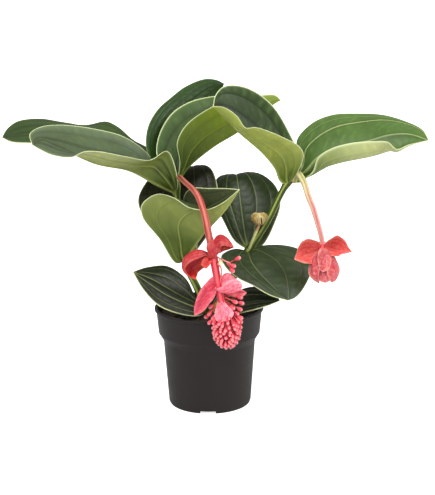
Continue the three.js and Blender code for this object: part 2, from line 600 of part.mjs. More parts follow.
// The leaves clasp the stem in pairs, and their margins wave. Each starts inside its stem, where it
// is cut off.
const LEAVES = {
  leaf_left_front: {
    midrib: [[-48, -8, 336], [-78, -24, 354], [-116, -38, 378], [-165, -50, 391], [-213, -60, 415],
      [-242, -66, 429], [-256, -70, 423]],
    left: [[-45, -24, 360], [-59, -38, 406], [-84, -66, 398], [-119, -96, 409], [-154, -112, 419],
      [-176, -118, 420], [-193, -122, 413], [-220, -112, 414], [-242, -90, 419]],
    right: [[-73, 10, 361], [-91, 12, 394], [-126, 8, 421], [-177, 2, 436], [-221, -10, 443],
      [-248, -30, 443], [-261, -52, 436]],
    bulge: [2, -3],
  },
  leaf_left_back: {
    midrib: [[-48, -7, 344], [-88, 22, 376], [-138, 45, 401], [-198, 62, 415], [-262, 75, 419],
      [-304, 84, 414], [-324, 88, 409]],
    left: [[-67, 4, 355], [-88, 16, 374], [-137, 28, 395], [-196, 34, 399], [-266, 44, 406],
      [-305, 66, 405]],
    right: [[-74, 28, 363], [-89, 52, 393], [-116, 72, 406], [-141, 92, 424], [-160, 102, 431],
      [-194, 112, 424], [-232, 122, 428], [-267, 126, 433], [-301, 115, 431], [-317, 100, 421]],
    bulge: [3, 2],
  },
  leaf_top_back: {
    midrib: [[-49, -6, 350], [-65, 24, 374], [-66, 52, 409], [-50, 78, 439], [-23, 97, 464],
      [5, 112, 481], [28, 119, 487]],
    left: [[-73, 2, 368], [-92, 16, 396], [-92, 46, 428], [-77, 72, 453], [-57, 90, 469],
      [-33, 105, 485], [-3, 116, 495], [16, 119, 493]],
    right: [[-43, 30, 365], [-27, 62, 391], [-14, 93, 425], [5, 112, 454], [21, 119, 474]],
    bulge: [3, 3],
  },
  leaf_top_arch: {
    midrib: [[-47, -7, 354], [-27, 2, 378], [9, 18, 404], [47, 38, 423], [79, 56, 444],
      [101, 68, 459], [115, 78, 466]],
    left: [[-60, -1, 371], [-76, 3, 389], [-75, 20, 417], [-56, 42, 449], [-28, 58, 466],
      [11, 75, 473], [44, 85, 473], [83, 86, 471]],
    right: [[-42, -14, 384], [-45, -25, 418], [-32, -22, 442], [-2, -4, 462], [27, 18, 472],
      [58, 40, 476], [88, 62, 476], [106, 74, 474]],
    bulge: [-6, -3],
  },
  leaf_centre_top: {
    midrib: [[122, -1, 346], [111, -6, 355], [104, -11, 373], [85, -18, 398], [47, -32, 433],
      [19, -42, 463], [9, -46, 474]],
    left: [[134, -14, 364], [143, -38, 399], [135, -48, 414], [115, -60, 427], [93, -68, 438],
      [71, -74, 446], [56, -76, 446], [43, -72, 463], [25, -62, 474]],
    right: [[141, 3, 365], [144, 11, 385], [131, 20, 412], [104, 14, 460], [77, 2, 486],
      [50, -10, 499], [26, -22, 500], [13, -36, 489]],
    bulge: [-3, -6],
  },
  leaf_right: {
    midrib: [[127, -1, 350], [149, -8, 370], [167, -12, 391], [202, -18, 407], [242, -24, 417],
      [270, -30, 426], [300, -36, 428], [329, -40, 419]],
    left: [[144, 24, 377], [138, 40, 407], [160, 42, 433], [191, 38, 447], [230, 31, 450],
      [268, 20, 449], [298, 4, 442], [322, -20, 432]],
    right: [[139, -9, 351], [149, -13, 359], [158, -24, 371], [165, -42, 396], [184, -54, 411],
      [213, -62, 420], [245, -68, 423], [264, -70, 422], [276, -72, 412], [295, -62, 416],
      [314, -50, 418]],
    bulge: [3, -24],
  },
  leaf_mid_left_front: {
    midrib: [[-35, -8, 231], [-24, -26, 254], [-8, -42, 279], [25, -64, 321], [46, -82, 356]],
    left: [[-19, -8, 247], [-19, -5, 286], [-37, 0, 324], [-27, -14, 344], [3, -40, 350],
      [30, -68, 355]],
    right: [[-50, -18, 229], [-74, -26, 269], [-99, -32, 305], [-99, -38, 326], [-76, -46, 343],
      [-52, -54, 339], [-28, -62, 325], [-2, -68, 323], [21, -74, 334]],
    bulge: [-3, 4],
  },
  leaf_mid_left_back: {
    midrib: [[-35, -8, 228], [-42, 6, 260], [-45, 18, 305], [-43, 34, 342], [-37, 54, 361],
      [-28, 80, 353], [-24, 98, 330]],
    left: [[-53, 2, 235], [-78, 10, 269], [-104, 20, 302], [-108, 26, 319], [-103, 34, 334],
      [-87, 46, 353], [-59, 72, 362]],
    right: [[-6, 6, 231], [14, 15, 270], [17, 24, 306], [15, 30, 337], [7, 44, 362], [-7, 66, 365]],
    bulge: [3, 3],
  },
  leaf_mid_right_back: {
    midrib: [[62, 2, 243], [57, 14, 266], [53, 26, 294], [49, 40, 326], [46, 58, 347],
      [45, 80, 347], [45, 108, 327]],
    left: [[41, 10, 256], [22, 36, 286], [9, 54, 308], [8, 66, 326], [15, 80, 342], [28, 98, 342]],
    right: [[83, 6, 249], [104, 18, 284], [113, 30, 312], [106, 46, 335], [85, 66, 350],
      [64, 90, 347]],
    bulge: [3, 3],
  },
  leaf_mid_right_front: {
    midrib: [[61, 2, 240], [62, -16, 240], [66, -34, 232], [76, -50, 221], [95, -66, 204],
      [118, -76, 184]],
    left: [[83, 6, 249], [122, 6, 249], [147, -4, 241], [158, -22, 222], [147, -48, 201],
      [131, -68, 187]],
    right: [[43, 2, 246], [20, -14, 240], [25, -40, 228], [44, -58, 215], [65, -70, 207],
      [91, -80, 194]],
    bulge: [5, 3],
  },
  leaf_low_left: {
    midrib: [[-5, 0, 150], [-22, -20, 166], [-44, -31, 181], [-89, -48, 213], [-115, -52, 225]],
    left: [[-14, -32, 149], [-37, -52, 156], [-76, -70, 177], [-99, -66, 201]],
    right: [[-19, -15, 169], [-35, -14, 203], [-63, -12, 223], [-93, -28, 226]],
    bulge: [3, 3],
  },
  leaf_low_right: {
    midrib: [[12, 7, 153], [48, -25, 165], [75, -38, 173], [108, -48, 176]],
    left: [[34, 3, 172], [60, 1, 184], [84, -8, 187], [102, -28, 184]],
    right: [[35, -36, 152], [59, -56, 162], [86, -58, 170]],
    bulge: [3, 3],
  },
};

const PALE_LEAVES = new Set(["leaf_top_arch", "leaf_mid_left_front"]);

for (const [name, leaf] of Object.entries(LEAVES)) {
  const colour = PALE_LEAVES.has(name) ? COLOURS.paleLeaf : COLOURS.leaf;
  place(name, colour, 0.45, (swollen) => leafBlade(leaf, swollen));
}

// ---------------------------------------------------------------------------------------------
// Pot: a lathed shell with drain holes and notches
// ---------------------------------------------------------------------------------------------

const POT_FLOOR = CHANNEL_HEIGHT + FLOOR_THICKNESS;
const LIP_BOTTOM_HEIGHT = POT_HEIGHT - POT_LIP_HEIGHT;

const UNDERSIDE = [
  [0, 0],
  [FOOT_DISC_RADIUS, 0],
  [FOOT_DISC_RADIUS + CHANNEL_SLOPE, CHANNEL_HEIGHT],
  [FOOT_RING_RADIUS - FOOT_RING_WIDTH - CHANNEL_SLOPE, CHANNEL_HEIGHT],
  [FOOT_RING_RADIUS - FOOT_RING_WIDTH, 0],
  [FOOT_RING_RADIUS, 0],
];
const OUTER_WALL = [
  [POT_BODY_BOTTOM_RADIUS, POT_BODY_BOTTOM_HEIGHT],
  [POT_BODY_TOP_RADIUS, POT_BODY_TOP_HEIGHT],
  [POT_SHOULDER_RADIUS, POT_SHOULDER_HEIGHT],
  [POT_BAND_BOTTOM_RADIUS, POT_BAND_BOTTOM_HEIGHT],
  [POT_BAND_TOP_RADIUS, LIP_BOTTOM_HEIGHT - 1],
  [POT_LIP_RADIUS, LIP_BOTTOM_HEIGHT],
  [POT_LIP_RADIUS, POT_HEIGHT - POT_LIP_CHAMFER],
  [POT_LIP_RADIUS - POT_LIP_CHAMFER, POT_HEIGHT],
];
const INNER_WALL = [
  [POT_BAND_TOP_RADIUS - POT_WALL, POT_HEIGHT],
  [POT_BAND_BOTTOM_RADIUS - POT_WALL, POT_BAND_BOTTOM_HEIGHT],
  [POT_SHOULDER_RADIUS - POT_WALL, POT_SHOULDER_HEIGHT],
  [POT_BODY_TOP_RADIUS - POT_WALL, POT_BODY_TOP_HEIGHT],
  [POT_BODY_BOTTOM_RADIUS - POT_WALL, POT_FLOOR],
];
const FLOOR = [
  [FOOT_DISC_RADIUS + CHANNEL_SLOPE - POT_WALL, POT_FLOOR],
  [FOOT_DISC_RADIUS - POT_WALL, FLOOR_THICKNESS],
  [0, FLOOR_THICKNESS],
];

const turned = (geometry) => toSolid(geometry.rotateX(Math.PI / 2));
const onCircle = (radius, angle) => [radius * Math.cos(angle), radius * Math.sin(angle)];

function potShell() {
  const profile = [...UNDERSIDE, ...OUTER_WALL, ...INNER_WALL, ...FLOOR];
  const points = profile.map(([radius, height]) => new THREE.Vector2(radius, height));
  const shell = turned(new THREE.LatheGeometry(points, POT_SIDES));
  const holes = range(DRAIN_HOLE_COUNT).map((index) => {
    const [x, y] = onCircle(DRAIN_CIRCLE_RADIUS, (2 * Math.PI * (index + 0.5)) / DRAIN_HOLE_COUNT);
    const hole = new THREE.CylinderGeometry(
      DRAIN_HOLE_RADIUS, DRAIN_HOLE_RADIUS, 2 * POT_FLOOR, DRAIN_HOLE_SIDES);
    return turned(hole).translate([x, y, POT_FLOOR]);
  });
  const notches = range(NOTCH_COUNT).map((index) => {
    const angle = (2 * Math.PI * index) / NOTCH_COUNT + NOTCH_TURN;
    const notch = new THREE.BoxGeometry(NOTCH_DEPTH, NOTCH_WIDTH, 2 * NOTCH_HEIGHT);
    notch.rotateZ(angle).translate(...onCircle(FOOT_RING_RADIUS, angle), 0);
    return toSolid(notch);
  });
  return cut(shell, [...holes, ...notches]);
}

// ---------------------------------------------------------------------------------------------
// Soil: it follows the inside of the pot, and the stems stand in plain holes in it
// ---------------------------------------------------------------------------------------------

function soilFilling() {
  const ring = (radius, heightAt) =>
    range(SOIL_SECTORS).map((sector) => {
      const angle = (2 * Math.PI * sector) / SOIL_SECTORS;
      const [x, y] = onCircle(radius, angle);
      return new THREE.Vector3(x, y, heightAt(radius, angle));
    });
  const level = (height) => () => height;
  const crumbled = (radius, angle) =>
    SOIL_HEIGHT +
    SOIL_RELIEF * (0.6 * Math.sin(3 * angle + radius / 9) + 0.4 * Math.sin(7 * angle - radius / 5));
  const wall = INNER_WALL.slice(1).reverse();
  return ringSolid([
    ring(FLOOR[1][0] - SEAT_GAP, level(FLOOR_THICKNESS + SEAT_GAP)),
    ring(FLOOR[0][0] - SEAT_GAP, level(POT_FLOOR + SEAT_GAP)),
    ...wall.map(([radius, height], index) =>
      ring(radius - SOIL_CLEARANCE, level(index === 0 ? height + SEAT_GAP : height))),
    ring(SOIL_TOP_RADIUS, crumbled),
    ...SOIL_TOP_RINGS.map((radius) => ring(radius, crumbled)),
  ]);
}

place("soil", COLOURS.soil, 1, soilFilling);
place("pot", COLOURS.pot, 0.4, potShell);

export default group;
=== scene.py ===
"""A flowering medinilla in its nursery pot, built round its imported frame.

Points and sizes are in millimetres, as they are measured on the plant, with the pot's axis on Z and
the plant's front toward -Y. skin() turns them into Blender's metres as it makes each mesh.
"""

import math

import bpy
import numpy as np
from mathutils import Matrix


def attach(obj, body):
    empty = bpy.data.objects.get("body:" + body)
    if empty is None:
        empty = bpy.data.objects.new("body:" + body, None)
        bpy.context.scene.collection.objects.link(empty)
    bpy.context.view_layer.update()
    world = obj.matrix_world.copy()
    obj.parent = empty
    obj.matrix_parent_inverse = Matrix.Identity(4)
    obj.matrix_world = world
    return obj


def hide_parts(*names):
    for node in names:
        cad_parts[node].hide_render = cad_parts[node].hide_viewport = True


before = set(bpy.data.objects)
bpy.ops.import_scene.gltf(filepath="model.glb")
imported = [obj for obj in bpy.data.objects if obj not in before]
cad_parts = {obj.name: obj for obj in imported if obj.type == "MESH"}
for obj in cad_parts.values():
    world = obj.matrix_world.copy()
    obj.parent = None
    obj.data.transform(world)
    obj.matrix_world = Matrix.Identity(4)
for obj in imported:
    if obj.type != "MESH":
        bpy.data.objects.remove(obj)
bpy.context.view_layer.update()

# ---------------------------------------------------------------------------------------------
# Set: a pale floor that glows like a light table, under an even white sky, with a soft key light
# from the upper left and a weaker fill from the right. The camera looks a little down at the plant.
# ---------------------------------------------------------------------------------------------

CAMERA_PLACE = (0.0, -2.0, 0.74)
CAMERA_YAW = -0.4
CAMERA_TILT = 90 - 13.8
CAMERA_ROLL = -0.5
IMAGE_HEIGHT = 495
FOCAL_LENGTH = 1335
SENSOR = 36.0
FARTHEST_SEEN = 100
FLOOR_RADIUS = 40.0
FLOOR_SIDES = 64
FLOOR_ROUGHNESS = 0.9
FLOOR_GREY = 0.8
FLOOR_GLOW = 0.8
SKY_STRENGTH = 0.42
KEY_STRENGTH = 2.5
KEY_TURN = (math.radians(45), 0, math.radians(-30))
FILL_STRENGTH = 2.1
FILL_TURN = (math.radians(56), 0, math.radians(66))
LIGHT_SPREAD = math.radians(36)


def add(tree, kind, inputs=None, **settings):
    """A new node with its settings, and a value or another node's socket on each input."""
    node = tree.nodes.new(kind)
    for key, value in settings.items():
        setattr(node, key, value)
    for key, value in (inputs or {}).items():
        if isinstance(value, bpy.types.NodeSocket):
            tree.links.new(value, node.inputs[key])
        else:
            node.inputs[key].default_value = value
    return node


camera = bpy.data.objects.new("camera", bpy.data.cameras.new("camera"))
camera.data.sensor_width = SENSOR
camera.data.lens = FOCAL_LENGTH * SENSOR / IMAGE_HEIGHT
camera.data.clip_end = FARTHEST_SEEN
camera.matrix_world = (
    Matrix.Translation(CAMERA_PLACE)
    @ Matrix.Rotation(math.radians(CAMERA_YAW), 4, "Z")
    @ Matrix.Rotation(math.radians(CAMERA_TILT), 4, "X")
    @ Matrix.Rotation(math.radians(CAMERA_ROLL), 4, "Z")
)
bpy.context.scene.collection.objects.link(camera)
bpy.context.scene.camera = camera
bpy.context.scene.view_settings.view_transform = "Standard"

sky = bpy.data.worlds.new("studio_sky")
sky.use_nodes = True
seen = add(sky.node_tree, "ShaderNodeLightPath").outputs["Is Camera Ray"]
sky_range = {0: seen, 1: 1 - SKY_STRENGTH, 2: SKY_STRENGTH}
sky_brightness = add(sky.node_tree, "ShaderNodeMath", sky_range, operation="MULTIPLY_ADD")
sky_light = sky.node_tree.nodes["Background"]
sky_light.inputs["Color"].default_value = (1, 1, 1, 1)
sky.node_tree.links.new(sky_brightness.outputs[0], sky_light.inputs["Strength"])
bpy.context.scene.world = sky

for label, strength, turn in (
    ("key_light", KEY_STRENGTH, KEY_TURN),
    ("fill_light", FILL_STRENGTH, FILL_TURN),
):
    lamp = bpy.data.lights.new(label, "SUN")
    lamp.energy = strength
    lamp.angle = LIGHT_SPREAD
    light = bpy.data.objects.new(label, lamp)
    light.rotation_euler = turn
    bpy.context.scene.collection.objects.link(light)

bpy.ops.mesh.primitive_circle_add(vertices=FLOOR_SIDES, radius=FLOOR_RADIUS, fill_type="NGON")
floor = bpy.context.object
floor.name = "floor"
floor_finish = bpy.data.materials.new("pale_floor")
floor_finish.use_nodes = True
floor_shader = floor_finish.node_tree.nodes["Principled BSDF"]
floor_shader.inputs["Base Color"].default_value = (FLOOR_GREY, FLOOR_GREY, FLOOR_GREY, 1)
floor_shader.inputs["Roughness"].default_value = FLOOR_ROUGHNESS
floor_shader.inputs["Specular IOR Level"].default_value = 0
floor_shader.inputs["Emission Color"].default_value = (FLOOR_GLOW, FLOOR_GLOW, FLOOR_GLOW, 1)
seen = add(floor_finish.node_tree, "ShaderNodeLightPath").outputs["Is Camera Ray"]
floor_finish.node_tree.links.new(seen, floor_shader.inputs["Emission Strength"])
floor.data.materials.append(floor_finish)

# ---------------------------------------------------------------------------------------------
# Pot: an injection-moulded polypropylene nursery pot, dark warm grey and satin. A wide band
# stands out under its rolled lip, six round holes drain its floor, and four notches in the foot
# ring let the water out.
# ---------------------------------------------------------------------------------------------

POT_HEIGHT = 155
POT_LIP_RADIUS = 85
POT_LIP_HEIGHT = 4
POT_LIP_SLOPE = 1
POT_BAND_TOP_RADIUS = 82.4
POT_BAND_BOTTOM_RADIUS = 79
POT_BAND_BOTTOM_HEIGHT = 115
POT_BODY_TOP_RADIUS = 71.6
POT_BODY_TOP_HEIGHT = 102
POT_BODY_BOTTOM_RADIUS = 64.4
POT_BODY_BOTTOM_HEIGHT = 3
POT_SHOULDER_RADIUS = 74.2
POT_SHOULDER_HEIGHT = 107.5
POT_WALL = 1.8
POT_SIDES = 144
FOOT_DISC_RADIUS = 30
FOOT_DISC_MIDDLE = 22
FOOT_RING_RADIUS = 62.8
FOOT_RING_WIDTH = 2.8
CHANNEL_HEIGHT = 5
CHANNEL_SLOPE = 1.2
FLOOR_THICKNESS = 2
POT_FLOOR = CHANNEL_HEIGHT + FLOOR_THICKNESS
DRAIN_HOLE_RADIUS = 5
DRAIN_HOLE_COUNT = 6
DRAIN_HOLE_SIDES = 32
DRAIN_CIRCLE_RADIUS = 45
NOTCH_WIDTH = 24
NOTCH_DEPTH = 14
NOTCH_HEIGHT = 4.4
NOTCH_COUNT = 4
NOTCH_TURN = math.radians(-3)
CORNER_RADIUS = 1.1
POT_CREASE = math.radians(32)
POT_ROUGHNESS = (0.4, 0.55)

UNDERSIDE = [
    (FOOT_DISC_MIDDLE, 0),
    (FOOT_DISC_RADIUS, 0),
    (FOOT_DISC_RADIUS + CHANNEL_SLOPE, CHANNEL_HEIGHT),
    (FOOT_RING_RADIUS - FOOT_RING_WIDTH - CHANNEL_SLOPE, CHANNEL_HEIGHT),
    (FOOT_RING_RADIUS - FOOT_RING_WIDTH, 0),
    (FOOT_RING_RADIUS, 0),
]
OUTER_WALL = [
    (POT_BODY_BOTTOM_RADIUS, POT_BODY_BOTTOM_HEIGHT),
    (POT_BODY_TOP_RADIUS, POT_BODY_TOP_HEIGHT),
    (POT_SHOULDER_RADIUS, POT_SHOULDER_HEIGHT),
    (POT_BAND_BOTTOM_RADIUS, POT_BAND_BOTTOM_HEIGHT),
    (POT_BAND_TOP_RADIUS, POT_HEIGHT - POT_LIP_HEIGHT - POT_LIP_SLOPE),
    (POT_LIP_RADIUS, POT_HEIGHT - POT_LIP_HEIGHT),
    (POT_LIP_RADIUS, POT_HEIGHT),
]
INNER_WALL = [
    (POT_BAND_TOP_RADIUS - POT_WALL, POT_HEIGHT),
    (POT_BAND_BOTTOM_RADIUS - POT_WALL, POT_BAND_BOTTOM_HEIGHT),
    (POT_SHOULDER_RADIUS - POT_WALL, POT_SHOULDER_HEIGHT),
    (POT_BODY_TOP_RADIUS - POT_WALL, POT_BODY_TOP_HEIGHT),
    (POT_BODY_BOTTOM_RADIUS - POT_WALL, POT_FLOOR),
    (FOOT_DISC_RADIUS + CHANNEL_SLOPE - POT_WALL, POT_FLOOR),
    (FOOT_DISC_RADIUS - POT_WALL, FLOOR_THICKNESS),
    (FOOT_DISC_MIDDLE, FLOOR_THICKNESS),
]


def rounded(corners, radius, steps=5):
    """A polyline with each inner corner turned on a quadratic curve.

    The curve leaves each side `radius` from the corner, or a third along a shorter side, and the
    corner itself is its control point.
    """
    points = np.array(corners, float)
    sides = np.diff(points, axis=0)
    lengths = np.linalg.norm(sides, axis=1)[:, None]
    trims = np.minimum(radius, lengths / 3) * sides / lengths
    corner = points[1:-1, None]
    arrive = corner - trims[:-1, None]
    leave = corner + trims[1:, None]
    t = np.linspace(0, 1, steps)[None, :, None]
    turns = (1 - t) ** 2 * arrive + 2 * t * (1 - t) * corner + t**2 * leave
    return np.vstack([points[:1], turns.reshape(-1, 2), points[-1:]])


def lathe(profile, sides):
    """Rings round Z: each profile point (radius, height) carried through a full turn."""
    angle = np.linspace(0, 2 * np.pi, sides, endpoint=False)
    radius, height = np.array(profile, float).T[..., None]
    return np.stack([radius * np.cos(angle), radius * np.sin(angle), height + 0 * angle], axis=-1)


def skin(name, rings, marks=None, slots=0):
    """An object of closed skins over rings of points, given as (piece, row, side, xyz).

    Four-sided faces join each ring to the next, and a fan closes each end on the ring's middle.
    `marks` are masks on the same grid, kept as point attributes, and `slots` gives each four-sided
    face its material by (row, side). With its sides turning left about the way the rows run, a
    skin faces outward.
    """
    rings = rings.reshape((-1,) + rings.shape[-3:])
    pieces, rows, sides, _ = rings.shape
    count = rows * sides + 2
    points = np.concatenate([rings.reshape(pieces, -1, 3), rings[:, [0, -1]].mean(axis=2)], axis=1)
    row, side = np.mgrid[: rows - 1, :sides]
    here = row * sides + side
    beside = row * sides + (side + 1) % sides
    quads = np.stack([here, beside, beside + sides, here + sides], axis=-1).reshape(-1, 4)
    last = (rows - 1) * sides
    start_fan = np.stack([0 * side[0] + count - 2, beside[0], here[0]], axis=-1)
    end_fan = np.stack([0 * side[0] + count - 1, last + here[0], last + beside[0]], axis=-1)
    fans = np.concatenate([start_fan, end_fan])
    offsets = np.arange(pieces)[:, None, None] * count
    faces = (quads + offsets).reshape(-1, 4).tolist() + (fans + offsets).reshape(-1, 3).tolist()
    mesh = bpy.data.meshes.new(name)
    mesh.from_pydata((points.reshape(-1, 3) / 1000).tolist(), [], faces)
    mesh.polygons.foreach_set("use_smooth", np.ones(len(faces), bool))
    on_quads = np.tile(np.broadcast_to(slots, row.shape).ravel(), pieces)
    on_faces = np.concatenate([on_quads, np.zeros(len(faces) - len(on_quads), int)])
    mesh.polygons.foreach_set("material_index", on_faces.astype(np.int32))
    for mark, grid in (marks or {}).items():
        grid = np.broadcast_to(grid, rings.shape[:3])
        ends = grid[:, [0, -1]].mean(axis=2)
        values = np.concatenate([grid.reshape(pieces, -1), ends], axis=1).ravel()
        attribute = mesh.attributes.new(mark, "FLOAT", "POINT")
        attribute.data.foreach_set("value", values.astype(np.float32))
    mesh.update()
    piece = bpy.data.objects.new(name, mesh)
    bpy.context.scene.collection.objects.link(piece)
    return piece


def cut_holes(piece, cutters):
    """Cuts each cutter out of the piece with an exact Boolean, and removes the cutter."""
    for cutter in cutters:
        boolean = piece.modifiers.new("hole", "BOOLEAN")
        boolean.operation = "DIFFERENCE"
        boolean.solver = "EXACT"
        boolean.object = cutter
    evaluated = piece.evaluated_get(bpy.context.evaluated_depsgraph_get())
    mesh = bpy.data.meshes.new_from_object(evaluated)
    piece.modifiers.clear()
    piece.data = mesh
    for cutter in cutters:
        bpy.data.objects.remove(cutter)


def paint(red, green, blue):
    """A linear colour from the three values, 0 to 255, that a screen shows it with."""
    value = np.array([red, green, blue]) / 255
    linear = np.where(value > 0.04045, ((value + 0.055) / 1.055) ** 2.4, value / 12.92)
    return (*linear, 1.0)


def blend_colours(tree, share, first, second):
    """The socket of a colour that goes from first to second as share goes from 0 to 1."""
    mix = add(tree, "ShaderNodeMix", {0: share, 6: first, 7: second}, data_type="RGBA")
    return mix.outputs[2]


def deepen(tree, share, colour, tint):
    """The socket of a colour that is multiplied by a tint as share goes from 0 to 1."""
    inputs = {0: share, 6: colour, 7: tint}
    return add(tree, "ShaderNodeMix", inputs, data_type="RGBA", blend_type="MULTIPLY").outputs[2]


def calculate(tree, operation, *values):
    """The socket of one step of arithmetic on numbers or sockets."""
    return add(tree, "ShaderNodeMath", dict(enumerate(values)), operation=operation).outputs[0]


def rescale(tree, value, low, high, to_low=0.0, to_high=1.0):
    """The socket of a value carried from low..high to to_low..to_high and held at both ends."""
    inputs = {0: value, 1: low, 2: high, 3: to_low, 4: to_high}
    return add(tree, "ShaderNodeMapRange", inputs).outputs[0]


def mark_of(tree, name, share=1.0):
    """The socket of a point attribute that skin() has kept, times a share."""
    mark = add(tree, "ShaderNodeAttribute", attribute_name=name).outputs["Fac"]
    return mark if share == 1 else calculate(tree, "MULTIPLY", mark, share)


def new_group(name, inputs, outputs):
    """An empty node group with number sockets, its input node and its output node."""
    tree = bpy.data.node_groups.new(name, "ShaderNodeTree")
    for label, value in inputs.items():
        socket = tree.interface.new_socket(label, in_out="INPUT", socket_type="NodeSocketFloat")
        socket.default_value = value
    for label in outputs:
        tree.interface.new_socket(label, in_out="OUTPUT", socket_type="NodeSocketFloat")
    return tree, add(tree, "NodeGroupInput"), add(tree, "NodeGroupOutput")


def new_finish(name, roughness, specular=0.5):
    """A node material, its tree and its Principled shader, with its roughness and specular level."""
    material = bpy.data.materials.new(name)
    material.use_nodes = True
    shader = material.node_tree.nodes["Principled BSDF"]
    shader.inputs["Roughness"].default_value = roughness
    shader.inputs["Specular IOR Level"].default_value = specular
    return material, material.node_tree, shader


def set_colour(tree, shader, colour):
    """Feeds a colour into the shader's base colour."""
    tree.links.new(colour, shader.inputs["Base Color"])


def raise_bump(tree, shader, height, distance):
    """Feeds a height through a Bump node, `distance` metres deep, into the shader's normal."""
    bump = add(tree, "ShaderNodeBump", {"Height": height, "Distance": distance, "Strength": 1.0})
    tree.links.new(bump.outputs["Normal"], shader.inputs["Normal"])


# Mottle: uneven growth, dust and fading, as cloudy noise over fine grain, both from 0 to 1.
mottle, mottle_in, mottle_out = new_group(
    "mottle", {"Cloud Scale": 40, "Grain Scale": 900}, ["Cloud", "Grain"])
object_place = add(mottle, "ShaderNodeTexCoord").outputs["Object"]
for label in ("Cloud", "Grain"):
    noise = add(
        mottle,
        "ShaderNodeTexNoise",
        {"Vector": object_place, "Scale": mottle_in.outputs[f"{label} Scale"], "Detail": 4},
    )
    spread = rescale(mottle, noise.outputs[0], 0.3, 0.7)
    mottle.links.new(spread, mottle_out.inputs[label])


def add_mottle(tree, cloud_scale, grain_scale):
    """The cloud and grain sockets of a mottle group with its scales, in turns per metre."""
    scales = {"Cloud Scale": cloud_scale, "Grain Scale": grain_scale}
    group = add(tree, "ShaderNodeGroup", scales, node_tree=mottle)
    return group.outputs["Cloud"], group.outputs["Grain"]


def settle(piece, slot, nodes, *finishes):
    """Gives a piece its materials and body and hides its frame nodes; `slot` is not used."""
    for finish in finishes:
        piece.data.materials.append(finish)
    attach(piece, "root")
    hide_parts(*nodes)


pot_plastic, tree, shader = new_finish("pot_plastic", roughness=0.45, specular=0.3)
cloud, grain = add_mottle(tree, 18, 2600)
set_colour(tree, shader, blend_colours(tree, cloud, paint(21, 15, 12), paint(28, 21, 18)))
tree.links.new(rescale(tree, cloud, 0, 1, *POT_ROUGHNESS), shader.inputs["Roughness"])
raise_bump(tree, shader, grain, 0.00006)

pot_profile = rounded(UNDERSIDE + OUTER_WALL + INNER_WALL, CORNER_RADIUS)
pot = skin("nursery_pot", lathe(pot_profile, POT_SIDES))
pot_cutters = []
for index in range(DRAIN_HOLE_COUNT):
    angle = 2 * math.pi * (index + 0.5) / DRAIN_HOLE_COUNT
    centre = np.array([math.cos(angle), math.sin(angle), 0]) * DRAIN_CIRCLE_RADIUS
    tool = lathe([(DRAIN_HOLE_RADIUS, 0), (DRAIN_HOLE_RADIUS, 2 * POT_FLOOR)], DRAIN_HOLE_SIDES)
    pot_cutters.append(skin("drain_cutter", tool + centre))
for index in range(NOTCH_COUNT):
    angle = 2 * math.pi * index / NOTCH_COUNT + NOTCH_TURN
    outward = np.array([math.cos(angle), math.sin(angle), 0])
    sideways = np.array([-math.sin(angle), math.cos(angle), 0])
    corners = [(-1, -1), (1, -1), (1, 1), (-1, 1)]
    outline = np.array([
        outward * (FOOT_RING_RADIUS + out * NOTCH_DEPTH / 2) + sideways * aside * NOTCH_WIDTH / 2
        for out, aside in corners
    ])
    levels = np.array([[0, 0, -NOTCH_HEIGHT], [0, 0, NOTCH_HEIGHT]])
    pot_cutters.append(skin("notch_cutter", outline[None] + levels[:, None]))
cut_holes(pot, pot_cutters)
pot.data.set_sharp_from_angle(angle=POT_CREASE)
settle(pot, "pot", ["pot"], pot_plastic)

# ---------------------------------------------------------------------------------------------
# Soil: dark peat that fills the pot to a little under its lip. Its top is uneven and strewn with
# loose crumbs.
# ---------------------------------------------------------------------------------------------

SOIL_HEIGHT = 143
SOIL_RELIEF = 2.2
SOIL_SIDES = 160
SOIL_TOP_RADIUS = 78.2
SOIL_FOOT_RADIUS = 10
SOIL_MIDDLE_RADIUS = 2
SOIL_CLEARANCE = 1.2
SOIL_LIFT = 1
SOIL_EDGE = 3
SOIL_RINGS = 36
CRUMB_COUNT = 420
CRUMB_SIZES = (0.8, 3.0)
CRUMB_SPREAD = 0.97
CRUMB_RISE = 0.2
CRUMB_FORM = [(0.55, -0.7), (1, -0.1), (0.9, 0.4), (0.4, 0.8)]
CRUMB_SIDES = 6
SOIL_SEED = 11


def soil_top(x, y):
    """The height of the soil: slow waves round the pot, and waves of 5 to 20 mm all over it."""
    radius, angle = np.hypot(x, y), np.arctan2(y, x)
    slow = 0.6 * np.sin(3 * angle + radius / 9) + 0.4 * np.sin(7 * angle - radius / 5)
    fine = np.sin(x / 2.1 + 1.3 * np.sin(y / 3.7)) * np.sin(y / 2.6 + 1.1 * np.sin(x / 4.3))
    coarse = np.sin(x / 6.3 + 2) * np.sin(y / 5.2 + 1)
    return SOIL_HEIGHT + SOIL_RELIEF * slow * np.minimum(radius / 10, 1) + 0.5 * fine + 0.6 * coarse


soil_finish, tree, shader = new_finish("peat", roughness=0.95)
cloud, grain = add_mottle(tree, 160, 1400)
soil_colour = blend_colours(tree, cloud, paint(38, 28, 21), paint(72, 54, 40))
soil_colour = blend_colours(tree, rescale(tree, grain, 0.75, 1), soil_colour, paint(104, 84, 64))
set_colour(tree, shader, soil_colour)
raise_bump(tree, shader, grain, 0.0012)

